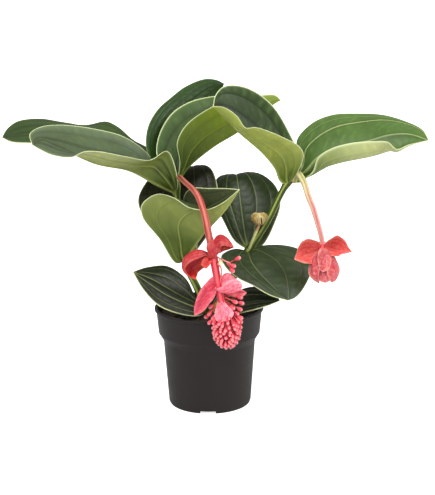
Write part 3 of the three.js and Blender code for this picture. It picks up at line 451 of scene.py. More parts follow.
soil_foot = POT_FLOOR + SOIL_LIFT
soil_wall = [
    (radius - SOIL_CLEARANCE, max(height, soil_foot)) for radius, height in INNER_WALL[4:0:-1]
]
soil_profile = [(SOIL_FOOT_RADIUS, soil_foot), *soil_wall, (SOIL_TOP_RADIUS, SOIL_HEIGHT - SOIL_EDGE)]
top_radii = np.linspace(SOIL_TOP_RADIUS, SOIL_MIDDLE_RADIUS, SOIL_RINGS)
top_rings = lathe([(radius, 0) for radius in top_radii], SOIL_SIDES)
top_rings[..., 2] = soil_top(top_rings[..., 0], top_rings[..., 1])
soil = skin("soil_filling", np.concatenate([lathe(soil_profile, SOIL_SIDES), top_rings]))
settle(soil, "soil", ["soil"], soil_finish)

chance = np.random.default_rng(SOIL_SEED)
crumb_reach = SOIL_TOP_RADIUS * CRUMB_SPREAD * np.sqrt(chance.random(CRUMB_COUNT))
crumb_angle = 2 * np.pi * chance.random(CRUMB_COUNT)
crumb_x, crumb_y = crumb_reach * np.cos(crumb_angle), crumb_reach * np.sin(crumb_angle)
crumb_size = CRUMB_SIZES[0] + (CRUMB_SIZES[1] - CRUMB_SIZES[0]) * chance.random(CRUMB_COUNT) ** 3
crumb_z = soil_top(crumb_x, crumb_y) + CRUMB_RISE * crumb_size
crumb_centre = np.stack([crumb_x, crumb_y, crumb_z], axis=-1)
crumb_stretch = 0.6 + 0.6 * chance.random((CRUMB_COUNT, 1, 1, 3))
crumb_knobs = 1 + 0.25 * chance.standard_normal((CRUMB_COUNT, len(CRUMB_FORM), CRUMB_SIDES, 1))
crumb_scale = crumb_stretch * crumb_knobs * crumb_size[:, None, None, None]
crumb_rings = lathe(CRUMB_FORM, CRUMB_SIDES) * crumb_scale + crumb_centre[:, None, None]
crumbs = skin("soil_crumbs", crumb_rings)
settle(crumbs, "soil", ["soil"], soil_finish)

# ---------------------------------------------------------------------------------------------
# Stems: two green, four-angled stems with a pale line on each angle. They thin out upward and
# swell at the nodes where a pair of leaves clasps them.
# ---------------------------------------------------------------------------------------------

STEMS = {
    "stem_left": {
        "path": [(-4, 1, 118), (-5, 0, 149), (-18, -6, 186), (-32, -10, 219), (-40, -6, 263),
                 (-46, -6, 310), (-48, -8, 354)],
        "nodes_at": (0.49, 0.97),
    },
    "stem_right": {
        "path": [(9, 8, 118), (11, 8, 150), (31, 6, 187), (58, 2, 236), (92, 2, 291), (110, 0, 329),
                 (120, 0, 347), (128, 0, 357)],
        "nodes_at": (0.51, 0.97),
    },
}
STEM_RADIUS_AT_SOIL = 6.2
STEM_RADIUS_AT_TOP = 4.4
NODE_SWELLING = 1.6
NODE_SPREAD = 0.035
ANGLE_DEPTH = 0.2
NODE_SCAR_SPREAD = 0.006
STEM_ROWS = 160
STEM_SIDES = 32
CURVE_STEPS = 60
DIRECTION_STEPS = 4000


def unit(vectors):
    """The vectors at a length of one."""
    return vectors / np.linalg.norm(vectors, axis=-1, keepdims=True)


def smooth_curve(points, shares):
    """Places and directions on the smooth curve through the points, at shares of its length.

    The curve is a centripetal Catmull-Rom one: its knots are spaced by the square root of each
    chord, and its slope at a point is the mean of the two chords' slopes, each weighted by the
    other's step. It is walked in fine steps, whose summed lengths turn a share into a knot value.
    A direction is taken from a little before a place to a little past it.
    """
    points = np.array(points, float)
    chords = np.diff(points, axis=0)
    steps = np.sqrt(np.linalg.norm(chords, axis=1))[:, None]
    slopes = chords / steps
    inner = (slopes[:-1] * steps[1:] + slopes[1:] * steps[:-1]) / (steps[:-1] + steps[1:])
    tangents = np.vstack([slopes[:1], inner, slopes[-1:]])
    knots = np.append(0, np.cumsum(steps))

    def place(values):
        piece = np.clip(np.searchsorted(knots, values, side="right") - 1, 0, len(steps) - 1)
        step = steps[piece]
        t = (values - knots[piece])[:, None] / step
        return (
            (2 * t**3 - 3 * t**2 + 1) * points[piece]
            + (t**3 - 2 * t**2 + t) * step * tangents[piece]
            + (3 * t**2 - 2 * t**3) * points[piece + 1]
            + (t**3 - t**2) * step * tangents[piece + 1]
        )

    fine = np.linspace(0, knots[-1], CURVE_STEPS * len(steps) + 1)
    walked = np.append(0, np.cumsum(np.linalg.norm(np.diff(place(fine), axis=0), axis=1)))
    values = np.interp(np.array(shares) * walked[-1], walked, fine)
    nudge = knots[-1] / DIRECTION_STEPS
    ahead, behind = np.minimum(values + nudge, knots[-1]), np.maximum(values - nudge, 0)
    return place(values), unit(place(ahead) - place(behind))


def tube(path, radius, rows, sides, reference):
    """Rings round the smooth curve through the path, and their share and angle at each point.

    `radius` is a function of both. Angle 0 looks along the reference direction, as far as that
    is square to the curve.
    """
    share = np.linspace(0, 1, rows)
    centre, forward = smooth_curve(path, share)
    aside = unit(reference - (forward @ reference)[:, None] * forward)
    across = np.cross(forward, aside)
    share, angle = np.meshgrid(share, np.linspace(0, 2 * np.pi, sides, endpoint=False), indexing="ij")
    spokes = np.cos(angle)[..., None] * aside[:, None] + np.sin(angle)[..., None] * across[:, None]
    return centre[:, None] + radius(share, angle)[..., None] * spokes, share, angle


FORWARD = np.array([0.0, 1.0, 0.0])
SIDEWAYS = np.array([1.0, 0.0, 0.0])
STEM_ANGLE = FORWARD + 0.4 * SIDEWAYS

stem_skin, tree, shader = new_finish("stem_skin", roughness=0.42, specular=0.35)
cloud, grain = add_mottle(tree, 60, 1500)
stem_colour = blend_colours(tree, cloud, paint(40, 56, 12), paint(62, 80, 24))
stem_colour = blend_colours(tree, mark_of(tree, "angle_line"), stem_colour, paint(166, 182, 84))
stem_colour = blend_colours(tree, mark_of(tree, "node_scar", 0.6), stem_colour, paint(108, 104, 52))
set_colour(tree, shader, stem_colour)
raise_bump(tree, shader, grain, 0.0002)


def bell(distance, width):
    """A bell curve: one at no distance, and 1/e at the width."""
    return np.exp(-((distance / width) ** 2))


def stem_radius(nodes_at):
    """A stem's radius function: a taper, a swelling at each node, and four blunt angles."""

    def radius(share, angle):
        plain = STEM_RADIUS_AT_SOIL + (STEM_RADIUS_AT_TOP - STEM_RADIUS_AT_SOIL) * share
        swelling = sum(NODE_SWELLING * bell(share - node, NODE_SPREAD) for node in nodes_at)
        return (plain + swelling) * (1 + ANGLE_DEPTH * np.abs(np.cos(2 * angle)) - ANGLE_DEPTH / 2)

    return radius


for name, stem in STEMS.items():
    nodes_at = stem["nodes_at"]
    rings, share, angle = tube(stem["path"], stem_radius(nodes_at), STEM_ROWS, STEM_SIDES, STEM_ANGLE)
    scars = sum(bell(share - node, NODE_SCAR_SPREAD) for node in nodes_at)
    marks = {"angle_line": np.abs(np.cos(2 * angle)) ** 6, "node_scar": scars}
    settle(skin(name + "_bark", rings, marks), "stem", [name], stem_skin)

# ---------------------------------------------------------------------------------------------
# Leaves: thick, leathery blades that clasp the stems in pairs. Five veins run from base to tip,
# sunk in the satin upper face and raised on the paler underside, and the blade puffs up between
# them. Fine cross veins join them, and a thin pale line edges the blade.
# ---------------------------------------------------------------------------------------------

LEAVES = {
    "leaf_left_front": {
        "midrib": [(-48, -8, 336), (-78, -24, 354), (-116, -38, 378), (-165, -50, 391),
                   (-213, -60, 415), (-242, -66, 429), (-256, -70, 423)],
        "left": [(-45, -24, 360), (-59, -38, 406), (-84, -66, 398), (-119, -96, 409),
                 (-154, -112, 419), (-176, -118, 420), (-193, -122, 413), (-220, -112, 414),
                 (-242, -90, 419)],
        "right": [(-73, 10, 361), (-91, 12, 394), (-126, 8, 421), (-177, 2, 436), (-221, -10, 443),
                  (-248, -30, 443), (-261, -52, 436)],
        "bulge": (2, -3),
        "crumple": 2.4,
        "upper": (74, 89, 62),
        "under": (147, 158, 91),
        "base": (0.2, 0.28, 0.1),
        "base_length": 0.52,
        "paleness": 0.12,
        "border": 1.0,
        "puckers": 0.15,
        "groove_shade": 0.35,
    },
    "leaf_left_back": {
        "midrib": [(-48, -7, 344), (-88, 22, 376), (-138, 45, 401), (-198, 62, 415),
                   (-262, 75, 419), (-304, 84, 414), (-324, 88, 409)],
        "left": [(-67, 4, 355), (-88, 16, 374), (-137, 28, 395), (-196, 34, 399), (-266, 44, 406),
                 (-305, 66, 405)],
        "right": [(-74, 28, 363), (-89, 52, 393), (-116, 72, 406), (-141, 92, 424),
                  (-160, 102, 431), (-194, 112, 424), (-232, 122, 428), (-267, 126, 433),
                  (-301, 115, 431), (-317, 100, 421)],
        "bulge": (3, 2),
        "upper": (50, 70, 32),
        "under": (100, 116, 58),
        "paleness": 0.04,
        "puckers": 0.1,
    },
    "leaf_top_back": {
        "midrib": [(-49, -6, 350), (-65, 24, 374), (-66, 52, 409), (-50, 78, 439), (-23, 97, 464),
                   (5, 112, 481), (28, 119, 487)],
        "left": [(-73, 2, 368), (-92, 16, 396), (-92, 46, 428), (-77, 72, 453), (-57, 90, 469),
                 (-33, 105, 485), (-3, 116, 495), (16, 119, 493)],
        "right": [(-43, 30, 365), (-27, 62, 391), (-14, 93, 425), (5, 112, 454), (21, 119, 474)],
        "upper": (33, 61, 12),
        "under": (106, 124, 52),
        "paleness": 0.03,
        "margin": 0.15,
        "puckers": 0.15,
    },
    "leaf_top_arch": {
        "midrib": [(-47, -7, 354), (-27, 2, 378), (9, 18, 404), (47, 38, 423), (79, 56, 444),
                   (101, 68, 459), (115, 78, 466)],
        "left": [(-60, -1, 371), (-76, 3, 389), (-75, 20, 417), (-56, 42, 449), (-28, 58, 466),
                 (11, 75, 473), (44, 85, 473), (83, 86, 471)],
        "right": [(-42, -14, 384), (-45, -25, 418), (-32, -22, 442), (-2, -4, 462), (27, 18, 472),
                  (58, 40, 476), (88, 62, 476), (106, 74, 474)],
        "bulge": (-6, -3),
        "upper": (57, 80, 34),
        "under": (118, 138, 46),
        "base": (0.2, 0.25, 0.15),
        "base_length": 0.52,
        "paleness": 0.03,
        "border": 0.5,
        "puckers": 0.3,
        "groove_shade": 0.3,
    },
    "leaf_centre_top": {
        "midrib": [(122, -1, 346), (111, -6, 355), (104, -11, 373), (85, -18, 398), (47, -32, 433),
                   (19, -42, 463), (9, -46, 474)],
        "left": [(134, -14, 364), (143, -38, 399), (135, -48, 414), (115, -60, 427),
                 (93, -68, 438), (71, -74, 446), (56, -76, 446), (43, -72, 463), (25, -62, 474)],
        "right": [(141, 3, 365), (144, 11, 385), (131, 20, 412), (104, 14, 460), (77, 2, 486),
                  (50, -10, 499), (26, -22, 500), (13, -36, 489)],
        "bulge": (-3, -6),
        "upper": (43, 62, 25),
        "under": (161, 175, 90),
        "base": (0.22, 0.3, 0.1),
        "base_length": 0.4,
        "paleness": 0.03,
        "border": 0.8,
        "puckers": 0.75,
        "groove_shade": 0.25,
    },
    "leaf_right": {
        "midrib": [(127, -1, 350), (149, -8, 370), (167, -12, 391), (202, -18, 407),
                   (242, -24, 417), (270, -30, 426), (300, -36, 428), (329, -40, 419)],
        "left": [(144, 24, 377), (138, 40, 407), (160, 42, 433), (191, 38, 447), (230, 31, 450),
                 (268, 20, 449), (298, 4, 442), (322, -20, 432)],
        "right": [(139, -9, 351), (149, -13, 359), (158, -24, 371), (165, -42, 396),
                  (184, -54, 411), (213, -62, 420), (245, -68, 423), (264, -70, 422),
                  (276, -72, 412), (295, -62, 416), (314, -50, 418)],
        "bulge": (3, -24),
        "veins": [(-0.7, -0.95), (-0.34, -0.84), (0, 0), (0.5, 0.5), (0.8, 0.8)],
        "strengths": (0.4, 1, 0.7, 0.6, 0.3),
        "upper": (77, 105, 50),
        "under": (173, 183, 128),
        "base": (0.25, 0.4, 0.1),
        "base_length": 0.6,
        "paleness": 0.85,
        "puckers": 0.22,
    },
    "leaf_mid_left_front": {
        "midrib": [(-35, -8, 231), (-24, -26, 254), (-8, -42, 279), (25, -64, 321), (46, -82, 356)],
        "left": [(-19, -8, 247), (-19, -5, 286), (-37, 0, 324), (-27, -14, 344), (3, -40, 350),
                 (30, -68, 355)],
        "right": [(-50, -18, 229), (-74, -26, 269), (-99, -32, 305), (-99, -38, 326),
                  (-76, -46, 343), (-52, -54, 339), (-28, -62, 325), (-2, -68, 323),
                  (21, -74, 334)],
        "bulge": (-3, 4),
        "upper": (52, 62, 30),
        "under": (156, 168, 96),
        "base": (0.15, 0.22, 0.05),
        "base_length": 0.78,
        "paleness": 0.2,
    },
    "leaf_mid_left_back": {
        "midrib": [(-35, -8, 228), (-42, 6, 260), (-45, 18, 305), (-43, 34, 342), (-37, 54, 361),
                   (-28, 80, 353), (-24, 98, 330)],
        "left": [(-53, 2, 235), (-78, 10, 269), (-104, 20, 302), (-108, 26, 319), (-103, 34, 334),
                 (-87, 46, 353), (-59, 72, 362)],
        "right": [(-18, 3, 244), (0, 12, 268), (13, 22, 302), (15, 30, 337), (7, 44, 362),
                  (-7, 66, 365)],
        "upper": (37, 40, 25),
        "under": (84, 96, 44),
        "paleness": 0.15,
    },
    "leaf_mid_right_back": {
        "midrib": [(62, 2, 243), (57, 14, 266), (53, 26, 294), (49, 40, 326), (46, 58, 347),
                   (45, 80, 347), (45, 108, 327)],
        "left": [(41, 10, 256), (22, 36, 286), (9, 54, 308), (8, 66, 326), (15, 80, 342),
                 (28, 98, 342)],
        "right": [(83, 6, 249), (104, 18, 284), (113, 30, 312), (106, 46, 335), (85, 66, 350),
                  (64, 90, 347)],
        "upper": (38, 51, 24),
        "paleness": 0.35,
    },
    "leaf_mid_right_front": {
        "midrib": [(61, 2, 240), (62, -16, 240), (66, -34, 232), (76, -50, 221), (95, -66, 204),
                   (118, -76, 184)],
        "left": [(83, 6, 249), (122, 6, 249), (147, -4, 241), (158, -22, 222), (147, -48, 201),
                 (131, -68, 187)],
        "right": [(43, 2, 246), (20, -14, 240), (25, -40, 228), (44, -58, 215), (65, -70, 207),
                  (91, -80, 194)],
        "bulge": (5, 3),
        "strengths": (0.3, 0.5, 1, 0.5, 0.3),
        "upper": (46, 58, 36),
        "paleness": 0.32,
    },
    "leaf_low_left": {
        "midrib": [(-5, 0, 150), (-22, -20, 166), (-44, -31, 181), (-89, -48, 213),
                   (-115, -52, 225)],
        "left": [(-14, -32, 149), (-37, -52, 156), (-76, -70, 177), (-99, -66, 201)],
        "right": [(-19, -15, 169), (-35, -14, 203), (-63, -12, 223), (-93, -28, 226)],
        "strengths": (0.5, 0.9, 1, 0.45, 0.2),
        "upper": (26, 32, 16),
        "paleness": 0.48,
    },
    "leaf_low_right": {
        "midrib": [(12, 7, 153), (48, -25, 165), (75, -38, 173), (108, -48, 176)],
        "left": [(34, 3, 172), (60, 1, 184), (84, -8, 187), (102, -28, 184)],
        "right": [(35, -36, 152), (59, -56, 162), (86, -58, 170)],
        "upper": (28, 36, 18),
        "paleness": 0.35,
    },
}
# What a leaf has where its own entry doesn't say otherwise. Each vein has its place across the leaf
# at the base and at the tip, and `base` is the tint that darkens the underside near the stem, as
# painted shade. `border` sets a painted sheen toward the edge, `puckers` the painted highlights and
# shade on the puckers, and the share for the grooves the painted shade beside the veins.
PLAIN_LEAF = {
    "bulge": (3, 3),
    "veins": [(-0.76, -0.76), (-0.4, -0.4), (0, 0), (0.4, 0.4), (0.76, 0.76)],
    "strengths": (0.4, 0.85, 1, 0.85, 0.4),
    "crumple": 1,
    "under": (84, 98, 44),
    "base": (0.4, 0.46, 0.22),
    "base_length": 0.6,
    "border": 0.3,
    "margin": 1,
    "puckers": 0.4,
    "groove_shade": 0.55,
}
LEAF_ROWS = 130
LEAF_SPAN = (0.01, 0.9985)
GAP_STEPS = np.array([0, 0.02, 0.06, 0.13, 0.25, 0.41, 0.59, 0.75, 0.87, 0.94, 0.98])
VEIN_WIDTHS = (1.0, 0.45)
VEIN_FLARE = 1.4
VEIN_FLARE_LENGTH = 0.08
RIB_WIDTH = 1.6
RIB_DEPTHS = (2.4, 0.25)
PUFF_POWER = 2.5
MARGIN_WIDTH = 0.95
BORDER_WIDTH = 8.0
LEAF_THICKNESS = 1.0
RIM_THICKNESS = 0.5
RIM_TAPER = 4.0
RIM_BULGE = 0.2
PUFF = 0.5
PUFF_PER_GAP = 0.03
PUCKER = 0.55
UNDERSIDE_PUFF = 0.35
PUCKER_SPACING = 13.0
PUCKER_SLANT = 0.55
PUCKER_WANDER = 0.22
CRUMPLE = 1.3
CRUMPLE_LENGTH = 0.18
CRUMPLE_WAVES = ((12, 8, 1.0), (23, -15, 0.6))
CREASE_WIDTH = 0.4
# The width of the painted shade beside each vein, in the grooves of the upper face and beside the ribs
# of the underside.
GROOVE_WIDTH = 3.0
LEAF_VEIN = (182, 198, 126)
LEAF_BASE = (116, 136, 60)
LEAF_MARGIN = (224, 234, 178)
UPPER_BASE_LENGTH = 0.1
UPPER_GLOSS = 0.3
UNDERSIDE_GLOSS = 0.22
UNDERSIDE_VEIN = (1.9, 1.8, 1.5)
# The underside's shares: its border sheen, pucker highlights and shade, and the shade beside its ribs
# are painted.
UNDERSIDE_LOOK = {"paleness": 0.4, "border": 0.2, "puckers": 0.12, "groove_shade": 0.75}
CLOUD_TONES = (0.78, 1.2)
WARM_TONE = (1.25, 1.2, 0.7)
# Painted sheen: the lighter tone toward a leaf's border, where the curled edge catches the light.
BORDER_SHEEN_TONE = (2.1, 1.9, 2.1)
# Painted highlight: the paler tone on the crest of each pucker, where it catches the light.
CREST_GLINT_TONE = (2.8, 2.5, 3.0)
# Painted shade: the tint that darkens the low parts of the puckers.
HOLLOW_SHADE_TINT = (0.6, 0.64, 0.6, 1)
# Painted shade: the tint that darkens the creases of the crumpled leaf bases.
CREASE_SHADE_TINT = (0.3, 0.36, 0.3, 1)
DULL_ROUGHNESS = 0.54
GLOSS_EFFECT = 0.35


def loft(blade, along, across):
    """The middle surface of a blade, with a row for each `along`, and `across` on each row.

    A point is the midrib's, plus its part of the reach to the margin on its side, raised at
    right angles to both by 4 part (1 - part) times the side's bulge times the sine of pi along.
    `along` runs from 0 at the base to 1 at the tip, and `across` from -1 to 1 at the margins.
    """
    midrib, direction = smooth_curve(blade["midrib"], along)
    part = np.abs(across)[..., None]
    halves = []
    for side, bulge in zip(("left", "right"), blade["bulge"]):
        margin, _ = smooth_curve([blade["midrib"][0], *blade[side], blade["midrib"][-1]], along)
        reach = margin - midrib
        rise = unit(np.cross(reach, direction) if side == "right" else np.cross(direction, reach))
        lift = bulge * np.sin(np.pi * along)[:, None, None] * 4 * part * (1 - part)
        halves.append(midrib[:, None] + part * reach[:, None] + lift * rise[:, None])
    return np.where(across[..., None] > 0, halves[1], halves[0])


def round_blade(surface, above, below, rim):
    """Rings round a blade: over its upper face from left to right, and back under it.

    The faces stand off the middle surface by `above` and `below` along its normal, which is
    the crosswise direction crossed with the lengthwise one, and a point `rim` beyond each
    margin rounds the edge.
    """
    lengthwise = unit(np.gradient(surface, axis=0))
    crosswise = unit(np.gradient(surface, axis=1))
    normal = unit(np.cross(crosswise, lengthwise))
    upper = surface + above[..., None] * normal
    lower = surface - below[..., None] * normal
    right = surface[:, -1:] + rim * crosswise[:, -1:]
    left = surface[:, :1] - rim * crosswise[:, :1]
    return np.concatenate([upper, right, lower[:, ::-1], left], axis=1)


def round_mark(grid):
    """A mask on the middle surface, carried round the blade's rings."""
    return np.concatenate([grid, grid[:, -1:], grid[:, ::-1], grid[:, :1]], axis=1)


def face_slots(rows, columns):
    """Material 0 on the faces of a blade's upper side, and 1 on its edge and underside."""
    side = np.arange(2 * columns + 2)
    return np.broadcast_to((side >= columns - 1).astype(int), (rows - 1, len(side)))


def eased_rows(rows, start, end):
    """Shares of a blade's length from start to end, closer together near both."""
    share = np.linspace(0, 1, rows)
    return start + (end - start) * (share + (1 - np.cos(np.pi * share)) / 2) / 2


def leaf_rings(leaf):
    """A leaf's rings and its masks.

    The veins part the blade into gaps, and the columns keep to them. Across a gap the blade puffs
    up by 1 - |2x - 1|^2.5 of x, the share of the way over it, and lengthwise it puckers by the
    square root of a rectified sine between its cross veins. Near its base it is folded by waves
    that run lengthwise at a slant. Each vein is a bell curve of the distance from it, wider near
    the base: a pale line on both faces, and a rib on the lower one.
    """
    along = eased_rows(LEAF_ROWS, *LEAF_SPAN)
    toward_tip = along[:, None]
    veins = np.array(leaf["veins"])
    strengths = np.array(leaf["strengths"])[:, None, None]
    places = veins[:, :1] + (veins[:, 1:] - veins[:, :1]) * along
    edges = np.vstack([0 * along - 1, places, 0 * along + 1])
    gaps = np.diff(edges, axis=0)[..., None]
    across = np.concatenate([*(edges[:-1, :, None] + gaps * GAP_STEPS), 0 * toward_tip + 1], axis=1)
    surface = loft(leaf, along, across)
    middle = loft(leaf, along, 0 * toward_tip)
    reach = np.where(
        across > 0,
        np.linalg.norm(surface[:, -1:] - middle, axis=-1),
        np.linalg.norm(surface[:, :1] - middle, axis=-1),
    )
    part = np.abs(across)
    fade = np.sin(np.pi * np.clip(toward_tip, 0.02, 0.98)) ** 0.5
    between = np.append(np.tile(1 - np.abs(2 * GAP_STEPS - 1) ** PUFF_POWER, len(gaps)), 0) * fade
    gap_shares = np.concatenate([*np.repeat(gaps, len(GAP_STEPS), axis=2), 0 * toward_tip], axis=1)
    gap_widths = gap_shares * reach
    length = np.linalg.norm(np.diff(middle[:, 0], axis=0), axis=-1).sum()
    wander = PUCKER_WANDER * np.sin(5 * np.pi * across + 9 * toward_tip)
    ladder = (length * toward_tip - PUCKER_SLANT * part * reach) / PUCKER_SPACING + wander
    pucker = PUCKER * np.sqrt(np.abs(np.sin(np.pi * ladder)))
    puff = (np.minimum(PUFF, PUFF_PER_GAP * gap_widths) + pucker) * between
    waves = sum(
        height * np.sin(turns_across * across + turns_along * toward_tip + order * length)
        for order, (turns_across, turns_along, height) in enumerate(CRUMPLE_WAVES)
    )
    crumpled = leaf["crumple"] * 4 * part * (1 - part) * np.exp(-toward_tip / CRUMPLE_LENGTH)
    crumple = CRUMPLE * crumpled * waves / 2
    away = np.abs(across - places[..., None]) * reach
    vein_width = VEIN_WIDTHS[0] + (VEIN_WIDTHS[1] - VEIN_WIDTHS[0]) * toward_tip
    vein_width += VEIN_FLARE * np.exp(-toward_tip / VEIN_FLARE_LENGTH)
    lines = strengths * bell(away, vein_width * np.sqrt(strengths))
    rib_depth = RIB_DEPTHS[0] + (RIB_DEPTHS[1] - RIB_DEPTHS[0]) * toward_tip
    ribs = (rib_depth * strengths**2 * bell(away, RIB_WIDTH)).sum(axis=0)
    edge = (1 - part) * reach
    thickness = LEAF_THICKNESS - (LEAF_THICKNESS - RIM_THICKNESS) * np.exp(-edge / RIM_TAPER)
    above = thickness / 2 + puff + crumple
    below = thickness / 2 - UNDERSIDE_PUFF * puff + ribs - crumple
    rings = round_blade(surface, above, below, RIM_BULGE)
    marks = {
        "vein": lines.max(axis=0),
        # Where the grooves lie beside the veins, to carry painted shade.
        "groove_shade": (strengths * bell(away, GROOVE_WIDTH)).max(axis=0),
        # Where the crumpled base creases, to carry painted shade.
        "crease_shade": np.minimum(crumpled, 1) * bell(waves, CREASE_WIDTH),
        "margin": bell(edge, MARGIN_WIDTH),
        "border": np.exp(-edge / BORDER_WIDTH),
        "between": between,
        "ladder": ladder,
        "along": toward_tip + 0 * part,
    }
    marks = {name: round_mark(grid) for name, grid in marks.items()}
    return rings, marks, face_slots(LEAF_ROWS, across.shape[1])


# Cross veins: between the long veins of a leaf, fine steps with a crest midway between them.
# The Hollow and Crest masks place the painted shade and painted highlight on a leaf's puckers.
cross_veins, _, cross_veins_out = new_group("cross_veins", {}, ["Step", "Hollow", "Crest"])
step_phase = calculate(cross_veins, "FRACT", mark_of(cross_veins, "ladder"))
from_crest = calculate(cross_veins, "ABSOLUTE", calculate(cross_veins, "SUBTRACT", step_phase, 0.5))
for label, low, high in (("Step", 0.44, 0.5), ("Hollow", 0.2, 0.5), ("Crest", 0.3, 0.0)):
    step = rescale(cross_veins, from_crest, low, high)
    step = calculate(cross_veins, "MULTIPLY", step, mark_of(cross_veins, "between"))
    cross_veins.links.new(step, cross_veins_out.inputs[label])


def toned(colour, *shares):
    """A linear colour with its three values multiplied by a share, or by one share each."""
    return (*np.minimum(np.array(colour[:3]) * shares, 1), 1.0)


def leaf_face(name, body, vein, base, base_length, gloss, look):
    """The finish of one face of a leaf, with the shares in `look` for this face.

    Its green is clouded and warmer in places, and lighter toward the border as a painted sheen.
    It goes over to the base's colour from `base_length` of the leaf's length down to 0.3 of that: a
    lime tint on the upper face, and painted shade on the underside near the stem. Some of its puckers
    have a paler crest, a painted highlight, and a deeper low part, painted shade. It is darker along
    its veins, which are pale themselves, as painted shade in their grooves, and darker in its creases
    as painted shade, and its edge is nearly white.
    """
    finish, tree, shader = new_finish(name, DULL_ROUGHNESS - GLOSS_EFFECT * gloss, specular=gloss)
    cloud, grain = add_mottle(tree, 24, 1100)
    warmth = add_mottle(tree, 55, 1100)[0]
    steps = add(tree, "ShaderNodeGroup", node_tree=cross_veins).outputs
    # Patches of painted highlight on the crest of the puckers.
    crest_glints = rescale(tree, warmth, 0.4, 0.7, 0, look["puckers"])
    # Patches of painted shade in the low parts of the puckers.
    hollow_shades = rescale(tree, cloud, 0.3, 0.8, 0, look["puckers"])
    near_base = rescale(tree, mark_of(tree, "along"), 0.3 * base_length, base_length, 0.9, 0)
    colour = blend_colours(tree, cloud, *(toned(body, share) for share in CLOUD_TONES))
    for share, tone in (
        (calculate(tree, "MULTIPLY", warmth, 0.5), toned(body, *WARM_TONE)),
        # painted sheen toward the curled border
        (mark_of(tree, "border", look["border"]), toned(body, *BORDER_SHEEN_TONE)),
        # painted highlight on the crest of each pucker
        (calculate(tree, "MULTIPLY", steps["Crest"], crest_glints), toned(body, *CREST_GLINT_TONE)),
        # toward the base: a lime tint on the upper face, painted shade on the underside
        (near_base, base),
    ):
        colour = blend_colours(tree, share, colour, tone)
    for share, tint in (
        # painted shade in the low parts of the puckers
        (calculate(tree, "MULTIPLY", steps["Hollow"], hollow_shades), HOLLOW_SHADE_TINT),
        # painted shade in the grooves beside the veins
        (mark_of(tree, "groove_shade"), toned((1, 1, 1), look["groove_shade"])),
        # painted shade in the creases
        (mark_of(tree, "crease_shade"), CREASE_SHADE_TINT),
    ):
        colour = deepen(tree, share, colour, tint)
    colour = blend_colours(tree, mark_of(tree, "vein", look["paleness"]), colour, vein)
    colour = blend_colours(tree, mark_of(tree, "margin", look["margin"]), colour, paint(*LEAF_MARGIN))
    set_colour(tree, shader, colour)
    height = calculate(tree, "SUBTRACT", calculate(tree, "MULTIPLY", grain, 0.3), steps["Step"])
    raise_bump(tree, shader, height, 0.00015)
    return finish


for name, own_look in LEAVES.items():
    leaf = PLAIN_LEAF | own_look
    upper, under = paint(*leaf["upper"]), paint(*leaf["under"])
    finishes = (
        leaf_face(name + "_upper", upper, paint(*LEAF_VEIN), paint(*LEAF_BASE), UPPER_BASE_LENGTH,
                  UPPER_GLOSS, leaf),
        # The underside goes darker toward the stem as painted shade.
        leaf_face(name + "_under", under, toned(under, *UNDERSIDE_VEIN), toned(under, *leaf["base"]),
                  leaf["base_length"], UNDERSIDE_GLOSS, leaf | UNDERSIDE_LOOK),
    )
    settle(skin(name + "_blade", *leaf_rings(leaf)), "leaf", [name], *finishes)

# ---------------------------------------------------------------------------------------------
# First flower: a long, arched coral stalk with two whorls of waxy bracts, a few side buds, and a
# hanging cluster of pink buds on thin pedicels round a short axis.
# ---------------------------------------------------------------------------------------------

FIRST_STALK = [(-49, -9, 352), (-48, -14, 360), (-42, -26, 364), (-32, -46, 359), (-22, -62, 353),
               (-14, -75, 344), (-5, -92, 320), (1, -101, 291), (6, -106, 265)]
FIRST_STALK_RADII = (3.7, 5.2)
FIRST_AXIS = [(5, -105, 272), (7, -107, 262), (12, -110, 230), (17, -112, 200), (22, -113, 172)]
FIRST_AXIS_RADII = (6.0, 4.4)
CLUSTER_AXIS = [(22, -113, 178), (26, -113, 158), (27, -113, 144), (26, -113, 128)]
CLUSTER_AXIS_RADII = (4.4, 1.6)
CLUSTER_CENTRE = (26, -113)
CLUSTER_RADIUS = 23
CLUSTER_TOP = 166
CLUSTER_BOTTOM = 122
CLUSTER_CLOSING = 0.97
CLUSTER_REACHES = (0.94, 1.03)
CLUSTER_BUDS = 130
CLUSTER_SEED = 5
ROOT_SHARE = 0.5
ROOT_RISE = 11
LOWEST_ROOT = 134
GOLDEN_ANGLE = math.pi * (3 - math.sqrt(5))
ROOT_ANGLE_SPREAD = 0.12
STREAK_LENGTH = 40
STALK_ANGLES = 0.07
BRANCHLET_RADIUS = 1.3
BRANCHLET_TAPER = 0.8
PEDICEL_RADIUS = 0.75
SIDE_BUD_RADIUS = 3.2
SIDE_BUD_LENGTH = 10
CLUSTER_BUD_RADIUS = 2.6
CLUSTER_BUD_LENGTH = 9.5
BUD_RADIUS_SHARES = (0.88, 1.12)
BUD_LENGTH_SHARES = (0.85, 1.15)
BUD_SIDES = 14
BUD_PROFILE = [(0, 0.34), (0.1, 0.46), (0.25, 0.72), (0.42, 0.9), (0.6, 1), (0.75, 0.96), (0.87, 0.76),
               (0.95, 0.46), (1, 0.16)]

